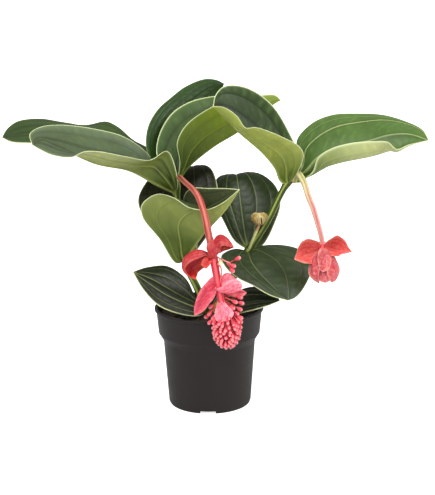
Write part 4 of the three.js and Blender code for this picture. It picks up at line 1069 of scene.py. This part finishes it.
FIRST_BRACTS = {
    "upper_hood": {
        "midrib": [(7, -106, 265), (9, -104, 286), (16, -106, 294), (26, -110, 291), (33, -114, 284),
                   (37, -116, 277)],
        "left": [(8, -99, 266), (15, -95, 263), (23, -97, 267), (30, -104, 271)],
        "right": [(12, -114, 269), (16, -122, 277), (20, -126, 282), (27, -124, 281), (33, -118, 278)],
        "bulge": (4, 4),
        "finish": "coral",
    },
    "upper_cup": {
        "midrib": [(5, -107, 262), (-7, -108, 271), (-18, -110, 273), (-31, -114, 267),
                   (-38, -116, 258), (-38, -117, 247), (-30, -117, 237), (-19, -116, 229)],
        "left": [(-4, -116, 265), (-18, -124, 262), (-28, -126, 257), (-34, -124, 248),
                 (-29, -120, 237)],
        "right": [(3, -101, 249), (-7, -98, 242), (-15, -100, 236), (-17, -108, 233)],
        "bulge": (3, 5),
        "finish": "coral",
    },
    "upper_lobe": {
        "midrib": [(5, -108, 263), (-2, -117, 257), (-8, -118, 249)],
        "left": [(-2, -113, 264), (-9, -118, 259), (-11, -119, 253)],
        "right": [(5, -112, 256), (1, -116, 250), (-4, -118, 246)],
        "bulge": (1, 1),
        "finish": "coral",
    },
    "upper_wrap": {
        "midrib": [(8, -112, 259), (7, -118, 264), (6, -118, 272), (8, -115, 281), (10, -109, 288)],
        "left": [(2, -115, 263), (-2, -115, 272), (-2, -112, 281), (3, -108, 287)],
        "right": [(12, -117, 265), (17, -119, 272), (19, -117, 279), (16, -111, 286)],
        "bulge": (1, 1),
        "finish": "coral",
    },
    "lower_left": {
        "midrib": [(12, -111, 221), (-1, -121, 215), (-12, -126, 200), (-22, -122, 176)],
        "left": [(7, -106, 231), (-5, -110, 222), (-14, -114, 210), (-20, -118, 196), (-22, -120, 186)],
        "right": [(11, -118, 212), (7, -124, 203), (1, -126, 196), (-7, -126, 185), (-15, -124, 179)],
        "bulge": (2, 2),
        "finish": "pink",
    },
    "lower_right": {
        "midrib": [(13, -111, 219), (15, -117, 211), (22, -119, 209), (32, -120, 209), (43, -120, 212),
                   (49, -118, 219)],
        "left": [(18, -106, 229), (23, -104, 235), (30, -104, 236), (36, -106, 231), (43, -110, 226)],
        "right": [(9, -118, 216), (18, -124, 220), (25, -127, 227), (32, -126, 231), (40, -124, 231),
                  (47, -121, 226)],
        "bulge": (-2, -2),
        # the pink made lighter as painted light
        "finish": "pale",
    },
    "lower_tail": {
        "midrib": [(16, -110, 211), (34, -107, 207), (46, -107, 207), (56, -108, 206)],
        "left": [(28, -106, 213), (43, -108, 214), (51, -108, 210)],
        "right": [(28, -110, 204), (40, -111, 201), (49, -110, 201)],
        "bulge": (1, 1),
        "finish": "pink",
    },
    "skirt": {
        "midrib": [(18, -112, 201), (19, -123, 189), (20, -127, 178), (21, -127, 168)],
        "left": [(12, -114, 193), (9, -119, 183), (8, -122, 174), (12, -125, 168)],
        "right": [(25, -116, 192), (32, -120, 186), (36, -121, 179), (30, -125, 170)],
        "bulge": (2, 2),
        # the pink made lighter as painted light
        "finish": "pale",
    },
}
BRACT_ROWS = 60
BRACT_SPAN = (0.01, 0.998)
BRACT_COLUMNS = 57
BRACT_THICKNESS = 1.0
BRACT_RIM_THICKNESS = 0.5
BRACT_RIM_TAPER = 3
BRACT_MARGIN_WIDTH = 0.7
BRACT_BORDER_WIDTH = 4
FURROW_WIDTH = 0.3
BRACT_RIBS = 7
BRACT_RIB_HEIGHT = 0.4
BRACT_RIPPLE = 0.6
BRACT_RIPPLES = 3.5
CRUMPLES = ((1.6, 1.3, 0.5), (3.7, -2.1, 0.35), (6.3, 4.9, 0.2), (11.0, -7.0, 0.1))

FIRST_BRANCHLETS = [
    [(8, -107, 263), (22, -112, 257), (32, -115, 253)],
    [(10, -109, 254), (18, -114, 246), (17, -112, 222)],
]
FIRST_BUDS = np.array([
    [(30, -114, 254), (47, -118, 263)],
    [(26, -114, 253), (40, -116, 248)],
    [(26, -114, 254), (37, -117, 239)],
    [(20, -111, 204), (50, -113, 200)],
    [(20, -112, 203), (42, -117, 193)],
    [(20, -111, 200), (52, -111, 190)],
    [(19, -111, 198), (49, -112, 180)],
    [(20, -112, 196), (38, -119, 184)],
    [(20, -111, 191), (44, -115, 174)],
    [(21, -112, 185), (50, -112, 167)],
    [(18, -111, 201), (0, -114, 184)],
    [(18, -111, 197), (-2, -116, 174)],
    [(19, -111, 192), (4, -116, 167)],
    [(19, -111, 190), (-7, -112, 169)],
    [(20, -112, 184), (-2, -114, 160)],
], float)
UNRIPE_BUD = np.array([[(16, -111, 258), (18, -118, 251)]], float)


def bract_rings(bract, phase):
    """A bract's rings and masks: a lofted blade that is ribbed, crumpled and rippled.

    `phase` shifts all its waves, so that no two bracts of a flower are alike.
    The ribs are a rectified sine of the way across, so that they meet in sharp furrows, and they
    sway with the way along. The crumpling is a sum of sines that each cross the blade at a slant,
    and the ripple of the margin grows with the cube of the way across.
    """
    along = eased_rows(BRACT_ROWS, *BRACT_SPAN)
    across = np.tile(np.sin(np.linspace(-1, 1, BRACT_COLUMNS) * np.pi / 2), (BRACT_ROWS, 1))
    toward_tip = along[:, None] + 0 * across
    surface = loft(bract, along, across)
    part = np.abs(across)
    fade = np.sin(np.pi * toward_tip) ** 0.7
    sway = 0.3 * np.sin(2 * np.pi * toward_tip + phase) + 0.12 * np.sin(9 * toward_tip + 2 * phase)
    rib_wave = np.abs(np.sin(np.pi * (BRACT_RIBS / 2 * across + sway)))
    lift = BRACT_RIB_HEIGHT * (np.sqrt(rib_wave) - 0.6) * (1 - part**4)
    for turns_along, turns_across, height in CRUMPLES:
        lift += height * np.sin(np.pi * (turns_along * toward_tip + turns_across * across) + 2.4 * phase)
    ripple = np.sin(2 * np.pi * BRACT_RIPPLES * toward_tip + phase + 2 * (across > 0))
    lift = (lift + BRACT_RIPPLE * part**3 * ripple) * fade
    reach = np.linalg.norm(np.gradient(surface, axis=1), axis=-1).sum(axis=1)[:, None] / 2
    edge = (1 - part) * reach
    thinning = (BRACT_THICKNESS - BRACT_RIM_THICKNESS) * np.exp(-edge / BRACT_RIM_TAPER)
    half = (BRACT_THICKNESS - thinning) / 2
    marks = {
        "along": toward_tip,
        "furrow": bell(rib_wave, FURROW_WIDTH) * fade,
        "margin": bell(edge, BRACT_MARGIN_WIDTH),
        "border": np.exp(-edge / BRACT_BORDER_WIDTH),
    }
    rings = round_blade(surface, half + lift, half - lift, 0.0)
    marks = {name: round_mark(grid) for name, grid in marks.items()}
    return rings, marks, face_slots(BRACT_ROWS, BRACT_COLUMNS)


def drops(name, lines, radii, lengths, sides):
    """An object of buds, each a drop at the end of a thin pedicel from its line's root to its tip.

    The drop fills the last stretch of the line. Its radius follows BUD_PROFILE, as shares of the
    drop's length and radius: it swells from the pedicel to its widest at two thirds and closes
    to a blunt tip.
    """
    root, tip = lines[:, 0], lines[:, 1]
    reach = np.linalg.norm(tip - root, axis=1)
    neck = np.maximum(1 - lengths / reach, 0.05)
    profile = np.array(BUD_PROFILE)
    on_drop = neck[:, None] + (1 - neck[:, None]) * profile[:, 0]
    stations = np.concatenate([neck[:, None] * [0, 0.5, 0.95], on_drop], axis=1)
    pedicel = np.full((len(lines), 3), PEDICEL_RADIUS)
    radius = np.concatenate([pedicel, radii[:, None] * profile[:, 1]], axis=1)
    forward = unit(tip - root)
    aside = unit(np.cross(forward, [0.31, 0.95, 0.05]))
    across = np.cross(forward, aside)
    angle = np.linspace(0, 2 * np.pi, sides, endpoint=False)[:, None]
    spokes = np.cos(angle) * aside[:, None] + np.sin(angle) * across[:, None]
    centres = root[:, None] + stations[..., None] * (tip - root)[:, None]
    rings = centres[:, :, None] + radius[:, :, None, None] * spokes[:, None]
    ripeness = np.concatenate([np.zeros(3), profile[:, 0]])[None, :, None]
    return skin(name, rings, {"ripeness": ripeness})


# Blotches: soft spots of a few millimetres over finer ones, with most of the surface left clear.
blotches, blotches_in, blotches_out = new_group("blotches", {"Scale": 260.0, "Clear": 0.5}, ["Blotch"])
blotch_noise = add(
    blotches,
    "ShaderNodeTexNoise",
    {
        "Vector": add(blotches, "ShaderNodeTexCoord").outputs["Object"],
        "Scale": blotches_in.outputs["Scale"],
        "Detail": 5.0,
        "Roughness": 0.6,
    },
)
blotch = rescale(blotches, blotch_noise.outputs[0], blotches_in.outputs["Clear"], 0.72)
blotches.links.new(blotch, blotches_out.inputs["Blotch"])


def add_blotches(tree, scale, clear):
    """The socket of a blotches group; above `clear`, from 0.3 to 0.7, its noise shows."""
    inputs = {"Scale": scale, "Clear": clear}
    return add(tree, "ShaderNodeGroup", inputs, node_tree=blotches).outputs["Blotch"]


def petal_face(name, deep, body, light, rim, hollow_shade=0.0, base_length=0.28):
    """The finish of one face of a bract, from four colours as paint() takes them.

    The body is blotched with the light tone. The deep one shows in the furrows, partly as deeper
    crimson and partly as painted shade in the creases, and toward the base within `base_length` of the
    length, partly as painted shade where the bracts meet. `hollow_shade` spreads it over the middle as
    painted shade. The border is weathered toward the rim's colour, and the edge is light.
    """
    deep, body, light, rim = (paint(*colour) for colour in (deep, body, light, rim))
    finish, tree, shader = new_finish(name, roughness=0.45, specular=0.4)
    shader.inputs["Subsurface Weight"].default_value = 0.12
    shader.inputs["Subsurface Radius"].default_value = (0.004, 0.0012, 0.001)
    cloud, grain = add_mottle(tree, 150, 1800)
    border = mark_of(tree, "border")
    weather = calculate(tree, "MULTIPLY", rescale(tree, border, 0.1, 0.7), add_blotches(tree, 120, 0.36))
    colour = blend_colours(tree, add_blotches(tree, 240, 0.42), body, light)
    for share, tone in (
        (calculate(tree, "MULTIPLY", cloud, 0.6), body),
        # Painted shade: the deep colour spread over the middle of the face, away from its border.
        (rescale(tree, border, 0.4, 0, 0, hollow_shade), deep),
        # Toward the base: deeper red, partly the bract's own colour and partly painted shade where the
        # bracts meet.
        (rescale(tree, mark_of(tree, "along"), base_length, 0.0, 0, 0.85), deep),
        # In the furrows: deeper crimson, partly the bract's veins and partly painted shade in the
        # creases.
        (mark_of(tree, "furrow", 0.85), deep),
        (weather, rim),
        (mark_of(tree, "margin", 0.6), light),
    ):
        colour = blend_colours(tree, share, colour, tone)
    set_colour(tree, shader, colour)
    raise_bump(tree, shader, calculate(tree, "MULTIPLY_ADD", grain, 0.3, cloud), 0.0005)
    return finish


# The hollow shares darken the middles of the inside faces as painted shade.
PETAL_FINISHES = {
    "coral": (
        petal_face("coral_bract_outside", (122, 8, 24), (182, 30, 44), (208, 92, 86), (190, 98, 74)),
        petal_face("coral_bract_inside", (150, 4, 20), (212, 26, 40), (220, 76, 68), (206, 116, 80),
                   hollow_shade=0.6),
    ),
    "pink": (
        petal_face("pink_bract_outside", (170, 14, 38), (224, 66, 92), (244, 146, 160), (236, 150, 150)),
        petal_face("pink_bract_inside", (160, 10, 34), (214, 54, 80), (238, 126, 142), (232, 130, 136),
                   hollow_shade=0.3),
    ),
    # The pale finish is the lower whorl's pink made lighter, as painted light on these bracts.
    "pale": (
        petal_face("pale_painted_light_bract_outside", (212, 52, 80), (246, 106, 128), (252, 172, 182),
                   (248, 170, 172)),
        petal_face("pale_painted_light_bract_inside", (200, 36, 64), (248, 110, 132), (254, 180, 190),
                   (248, 170, 174)),
    ),
}

# Streaks: noise drawn out along a stalk, from the marks that stalk() keeps.
streaks, _, streaks_out = new_group("streaks", {}, ["Streak"])
streak_place = add(
    streaks,
    "ShaderNodeCombineXYZ",
    {0: mark_of(streaks, "spoke_x"), 1: mark_of(streaks, "spoke_y"), 2: mark_of(streaks, "travel")},
)
streak_noise = add(
    streaks, "ShaderNodeTexNoise", {"Vector": streak_place.outputs[0], "Scale": 2.2, "Detail": 4.0})
streaks.links.new(rescale(streaks, streak_noise.outputs[0], 0.35, 0.65), streaks_out.inputs["Streak"])


def stalk_finish(name, stops, flush, line, roughness=0.4, flush_from=0.15):
    """A stalk's finish: its colours follow each other from root to tip, at shares of its length.

    Past `flush_from`, the side that the stalk's reference points to is flushed. The streaks are pale,
    the four angles are pale as a painted highlight on the ridges, and the sides between the angles are
    deeper as painted shade.
    """
    finish, tree, shader = new_finish(name, roughness, specular=0.4)
    grain = add_mottle(tree, 80, 1600)[1]
    along, angle_line = mark_of(tree, "along"), mark_of(tree, "angle_line")
    streak = add(tree, "ShaderNodeGroup", node_tree=streaks).outputs["Streak"]
    colour = paint(*stops[0][1])
    for (start, _), (end, tone) in zip(stops, stops[1:]):
        colour = blend_colours(tree, rescale(tree, along, start, end), colour, paint(*tone))
    flushed_side = rescale(tree, mark_of(tree, "spoke_x"), 0.2, 0.9)
    flushed_part = rescale(tree, along, flush_from, flush_from + 0.25, 0, 0.8)
    flushed = calculate(tree, "MULTIPLY", flushed_side, flushed_part)
    colour = blend_colours(tree, flushed, colour, paint(*flush))
    colour = blend_colours(tree, rescale(tree, streak, 0, 1, 0, 0.3), colour, paint(*line))
    # Painted shade on the sides between the angles.
    colour = deepen(tree, rescale(tree, angle_line, 0.3, 0), colour, (0.66, 0.56, 0.56, 1))
    # Painted highlight along the four angles.
    colour = blend_colours(tree, rescale(tree, angle_line, 0.3, 1, 0, 0.45), colour, paint(*line))
    set_colour(tree, shader, colour)
    raise_bump(tree, shader, calculate(tree, "MULTIPLY_ADD", streak, 2, grain), 0.00018)
    return finish


def stalk(name, path, radii, rows, sides, reference=SIDEWAYS):
    """A tapering stalk with four slight angles, and masks for its length, sides and angles."""

    def radius(share, angle):
        return (radii[0] + (radii[1] - radii[0]) * share) * (1 + STALK_ANGLES * np.cos(4 * angle))

    rings, share, angle = tube(path, radius, rows, sides, reference)
    length = np.linalg.norm(np.diff(np.array(path, float), axis=0), axis=1).sum()
    marks = {
        "along": share,
        "travel": share * length / STREAK_LENGTH,
        "spoke_x": np.cos(angle),
        "spoke_y": np.sin(angle),
        "angle_line": np.abs(np.cos(2 * angle)) ** 3,
    }
    return skin(name, rings, marks)


coral_stalk = stalk_finish(
    "coral_stalk",
    [(0, (84, 28, 16)), (0.2, (118, 48, 30)), (0.45, (176, 64, 52)), (1, (172, 42, 44))],
    flush=(184, 48, 48), line=(232, 150, 130))
red_axis = stalk_finish(
    "red_axis", [(0, (222, 42, 60)), (1, (244, 58, 84))],
    flush=(232, 46, 68), line=(248, 130, 142))
pale_branchlet = stalk_finish(
    "pale_branchlet", [(0, (222, 96, 96)), (1, (232, 140, 134))],
    flush=(222, 110, 110), line=(244, 196, 176))


def bud_finish(name, *colours):
    """A bud's finish, from the colours of its pedicel, its drop, its blotches and its paler tip."""
    neck, body, blotch, tip = (paint(*colour) for colour in colours)
    finish, tree, shader = new_finish(name, roughness=0.35)
    shader.inputs["Subsurface Weight"].default_value = 0.1
    shader.inputs["Subsurface Radius"].default_value = (0.003, 0.001, 0.0008)
    grain = add_mottle(tree, 120, 1500)[1]
    ripeness = mark_of(tree, "ripeness")
    colour = blend_colours(tree, rescale(tree, ripeness, 0, 0.3), neck, body)
    colour = blend_colours(tree, add_blotches(tree, 200, 0.45), colour, blotch)
    set_colour(tree, shader, blend_colours(tree, rescale(tree, ripeness, 0.6, 1.0), colour, tip))
    raise_bump(tree, shader, grain, 0.0001)
    return finish


bud_skin = bud_finish("bud_skin", (200, 34, 50), (224, 54, 76), (240, 110, 122), (242, 156, 160))
unripe_skin = bud_finish(
    "unripe_bud_skin", (214, 110, 100), (226, 196, 140), (238, 222, 180), (242, 232, 204))

settle(stalk("flower_1_long_stalk", FIRST_STALK, FIRST_STALK_RADII, 120, 24),
       "stalk", ["flower_1_stalk"], coral_stalk)
settle(stalk("flower_1_axis", FIRST_AXIS, FIRST_AXIS_RADII, 60, 24),
       "stalk", ["flower_1_bloom"], red_axis)
for index, path in enumerate(FIRST_BRANCHLETS):
    radii = (BRANCHLET_RADIUS, BRANCHLET_RADIUS * BRANCHLET_TAPER)
    settle(stalk(f"flower_1_branchlet_{index + 1}", path, radii, 24, 10),
           "stalk", ["flower_1_bloom"], pale_branchlet)
for index, (name, bract) in enumerate(FIRST_BRACTS.items()):
    settle(skin(f"flower_1_{name}", *bract_rings(bract, index)),
           "bract", ["flower_1_bloom"], *PETAL_FINISHES[bract["finish"]])

for name, lines, finish in (
    ("side_buds", FIRST_BUDS, bud_skin),
    ("unripe_bud", UNRIPE_BUD, unripe_skin),
):
    each = np.ones(len(lines))
    buds = drops(f"flower_1_{name}", lines, SIDE_BUD_RADIUS * each, SIDE_BUD_LENGTH * each, BUD_SIDES)
    settle(buds, "bud", ["flower_1_bloom"], finish)


def draw(chance, low, high, count):
    """Random values from low to high."""
    return low + (high - low) * chance.random(count)


chance = np.random.default_rng(CLUSTER_SEED)
bud_order = np.arange(CLUSTER_BUDS)
bud_down = (bud_order + 0.5) / CLUSTER_BUDS
bud_angle = bud_order * GOLDEN_ANGLE + ROOT_ANGLE_SPREAD * chance.standard_normal(CLUSTER_BUDS)
bud_reach = CLUSTER_RADIUS * np.sqrt(1 - (CLUSTER_CLOSING * bud_down) ** 3)
bud_reach *= draw(chance, *CLUSTER_REACHES, CLUSTER_BUDS)
bud_height = CLUSTER_TOP + (CLUSTER_BOTTOM - CLUSTER_TOP) * bud_down
outward = np.stack([np.cos(bud_angle), np.sin(bud_angle), 0 * bud_angle], axis=-1)
cluster_middle = np.array([*CLUSTER_CENTRE, 0.0])
bud_tips = cluster_middle + outward * bud_reach[:, None] + [0, 0, 1] * bud_height[:, None]
bud_roots = cluster_middle + outward * bud_reach[:, None] * ROOT_SHARE
bud_roots[:, 2] = np.maximum(bud_height + ROOT_RISE, LOWEST_ROOT)
cluster = drops(
    "flower_1_bud_cluster",
    np.stack([bud_roots, bud_tips], axis=1),
    CLUSTER_BUD_RADIUS * draw(chance, *BUD_RADIUS_SHARES, CLUSTER_BUDS),
    CLUSTER_BUD_LENGTH * draw(chance, *BUD_LENGTH_SHARES, CLUSTER_BUDS),
    BUD_SIDES,
)
settle(cluster, "bud", ["flower_1_cluster"], bud_skin)
settle(stalk("flower_1_cluster_axis", CLUSTER_AXIS, CLUSTER_AXIS_RADII, 30, 16),
       "stalk", ["flower_1_cluster"], red_axis)

# ---------------------------------------------------------------------------------------------
# Second flower: a shorter stalk, cream at its top and reddish below, with one whorl of coral
# bracts: two spread out like cups, and the rest hang in layers and end in dry points.
# ---------------------------------------------------------------------------------------------

SECOND_STALK = [(132, -1, 352), (136, -6, 364), (145, -22, 354), (151, -36, 335), (158, -48, 317),
                (164, -58, 297), (169, -64, 277), (170, -66, 268)]
SECOND_STALK_RADII = (5.4, 4.1)
SECOND_COLLAR = [(170, -65, 272), (170, -66, 262), (171, -67, 250)]
SECOND_COLLAR_RADII = (4.2, 3.2)
SECOND_BRACTS = {
    "left_cup": {
        "midrib": [(169, -66, 266), (157, -57, 256), (143, -60, 250), (128, -72, 247)],
        "left": [(168, -66, 256), (159, -70, 243), (150, -72, 240), (139, -74, 243), (133, -74, 245)],
        "right": [(163, -73, 274), (152, -75, 278), (140, -75, 276), (134, -75, 268), (131, -74, 257)],
        "bulge": (-3, -5),
    },
    "right_cup": {
        "midrib": [(171, -66, 266), (187, -56, 261), (200, -60, 258), (214, -70, 257)],
        "left": [(176, -71, 273), (183, -73, 279), (191, -75, 283), (198, -75, 280), (204, -75, 272),
                 (209, -73, 264)],
        "right": [(177, -67, 257), (183, -70, 252), (190, -72, 252), (197, -72, 254), (206, -72, 257)],
        "bulge": (-5, -3),
    },
    "front_petal": {
        "midrib": [(170, -68, 265), (171, -79, 253), (171, -82, 242), (170, -80, 229)],
        "left": [(165, -72, 261), (162, -77, 252), (163, -79, 241), (166, -79, 232)],
        "right": [(175, -72, 260), (182, -75, 252), (182, -77, 241), (177, -79, 232)],
        "bulge": (1, 1),
    },
    "left_petal": {
        "midrib": [(169, -67, 264), (157, -76, 250), (155, -79, 232), (166, -71, 208)],
        "left": [(161, -64, 254), (153, -62, 242), (150, -62, 232), (150, -64, 222), (156, -67, 214)],
        "right": [(167, -75, 252), (166, -79, 238), (164, -78, 224), (165, -74, 214)],
        "bulge": (2, 1),
    },
    "right_petal": {
        "midrib": [(171, -67, 264), (185, -76, 249), (190, -79, 233), (184, -71, 210)],
        "left": [(174, -75, 252), (175, -79, 238), (177, -78, 224), (181, -74, 214)],
        "right": [(182, -64, 255), (191, -62, 244), (197, -62, 230), (196, -64, 222), (191, -67, 213)],
        "bulge": (1, 2),
    },
    "inner_petal": {
        "midrib": [(170, -66, 263), (172, -70, 242), (173, -74, 224), (174, -72, 210)],
        "left": [(165, -68, 251), (160, -71, 235), (160, -73, 221), (166, -72, 213)],
        "right": [(175, -68, 251), (183, -71, 234), (185, -73, 221), (181, -72, 213)],
        "bulge": (1, 1),
    },
    "back_petal": {
        "midrib": [(170, -65, 264), (172, -51, 243), (174, -48, 222), (174, -56, 207)],
        "left": [(178, -58, 256), (190, -55, 241), (194, -54, 225), (187, -56, 212)],
        "right": [(164, -58, 256), (156, -55, 241), (154, -54, 226), (160, -56, 212)],
        "bulge": (2, 2),
    },
}

# The inside of the cups is darkened over its middle as painted shade.
second_finishes = (
    petal_face("second_bract_inside", (204, 34, 42), (252, 126, 114), (254, 196, 176), (216, 156, 104),
               hollow_shade=0.62),
    petal_face("second_bract_outside", (150, 20, 34), (212, 70, 80), (250, 172, 172), (222, 144, 126),
               base_length=0.75),
)
second_stalk = stalk_finish(
    "second_stalk",
    [(0, (170, 182, 96)), (0.2, (208, 212, 136)), (0.4, (212, 190, 140)), (0.65, (210, 122, 114)),
     (1, (190, 70, 82))],
    flush=(214, 108, 118), line=(236, 214, 180), flush_from=0.3)

settle(stalk("flower_2_long_stalk", SECOND_STALK, SECOND_STALK_RADII, 110, 24, SIDEWAYS - FORWARD),
       "stalk", ["flower_2_stalk"], second_stalk)
settle(stalk("flower_2_collar", SECOND_COLLAR, SECOND_COLLAR_RADII, 30, 20),
       "stalk", ["flower_2_bloom"], red_axis)
for index, (name, bract) in enumerate(SECOND_BRACTS.items()):
    settle(skin(f"flower_2_{name}", *bract_rings(bract, 2 * index)),
           "bract", ["flower_2_bloom"], *second_finishes)

# ---------------------------------------------------------------------------------------------
# Spent flower: a thin, striped green stalk from the right stem, with a reddish neck and three
# bracts that have dried to tan paper and cup a brown middle, darker still as painted shade.
# ---------------------------------------------------------------------------------------------

DRY_STALK = [(61, 1, 240), (64, -5, 250), (70, -8, 266), (77, -10, 284), (79, -10, 292)]
DRY_STALK_RADII = (2.1, 2.1)
DRY_BRACTS = {
    "left": {
        "midrib": [(77, -10, 286), (71, -15, 291), (68, -16, 299), (74, -14, 306)],
        "left": [(73, -7, 289), (66, -8, 297), (69, -9, 304)],
        "right": [(80, -16, 289), (80, -19, 297), (79, -16, 305)],
        "bulge": (1, 1),
    },
    "right": {
        "midrib": [(79, -10, 286), (86, -11, 291), (89, -12, 299), (84, -13, 306)],
        "left": [(82, -15, 289), (82, -19, 296), (79, -17, 305)],
        "right": [(84, -4, 290), (90, -6, 297), (87, -8, 304)],
        "bulge": (1, 1),
    },
    "back": {
        "midrib": [(78, -9, 286), (80, -4, 293), (80, -3, 299), (80, -7, 305)],
        "left": [(83, -7, 290), (85, -6, 297), (83, -7, 302)],
        "right": [(75, -7, 290), (74, -6, 297), (76, -7, 302)],
        "bulge": (1, 1),
    },
}

# Both faces darken over their middles as painted shade, the inside most.
dry_finishes = (
    petal_face("dry_bract_outside", (92, 46, 22), (156, 126, 48), (224, 212, 140), (230, 218, 168),
               hollow_shade=0.4),
    petal_face("dry_bract_inside", (52, 28, 18), (96, 66, 38), (150, 124, 74), (200, 184, 130),
               hollow_shade=0.85),
)
dry_stalk = stalk_finish(
    "dry_stalk", [(0, (176, 188, 104)), (0.66, (196, 198, 120)), (0.8, (166, 52, 36))],
    flush=(150, 150, 80), line=(226, 226, 170), roughness=0.5)

settle(stalk("dry_flower_stalk", DRY_STALK, DRY_STALK_RADII, 40, 16, FORWARD),
       "dry_bract", ["dry_flower"], dry_stalk)
for index, (name, bract) in enumerate(DRY_BRACTS.items()):
    settle(skin(f"dry_flower_{name}", *bract_rings(bract, index)),
           "dry_bract", ["dry_flower"], *dry_finishes)
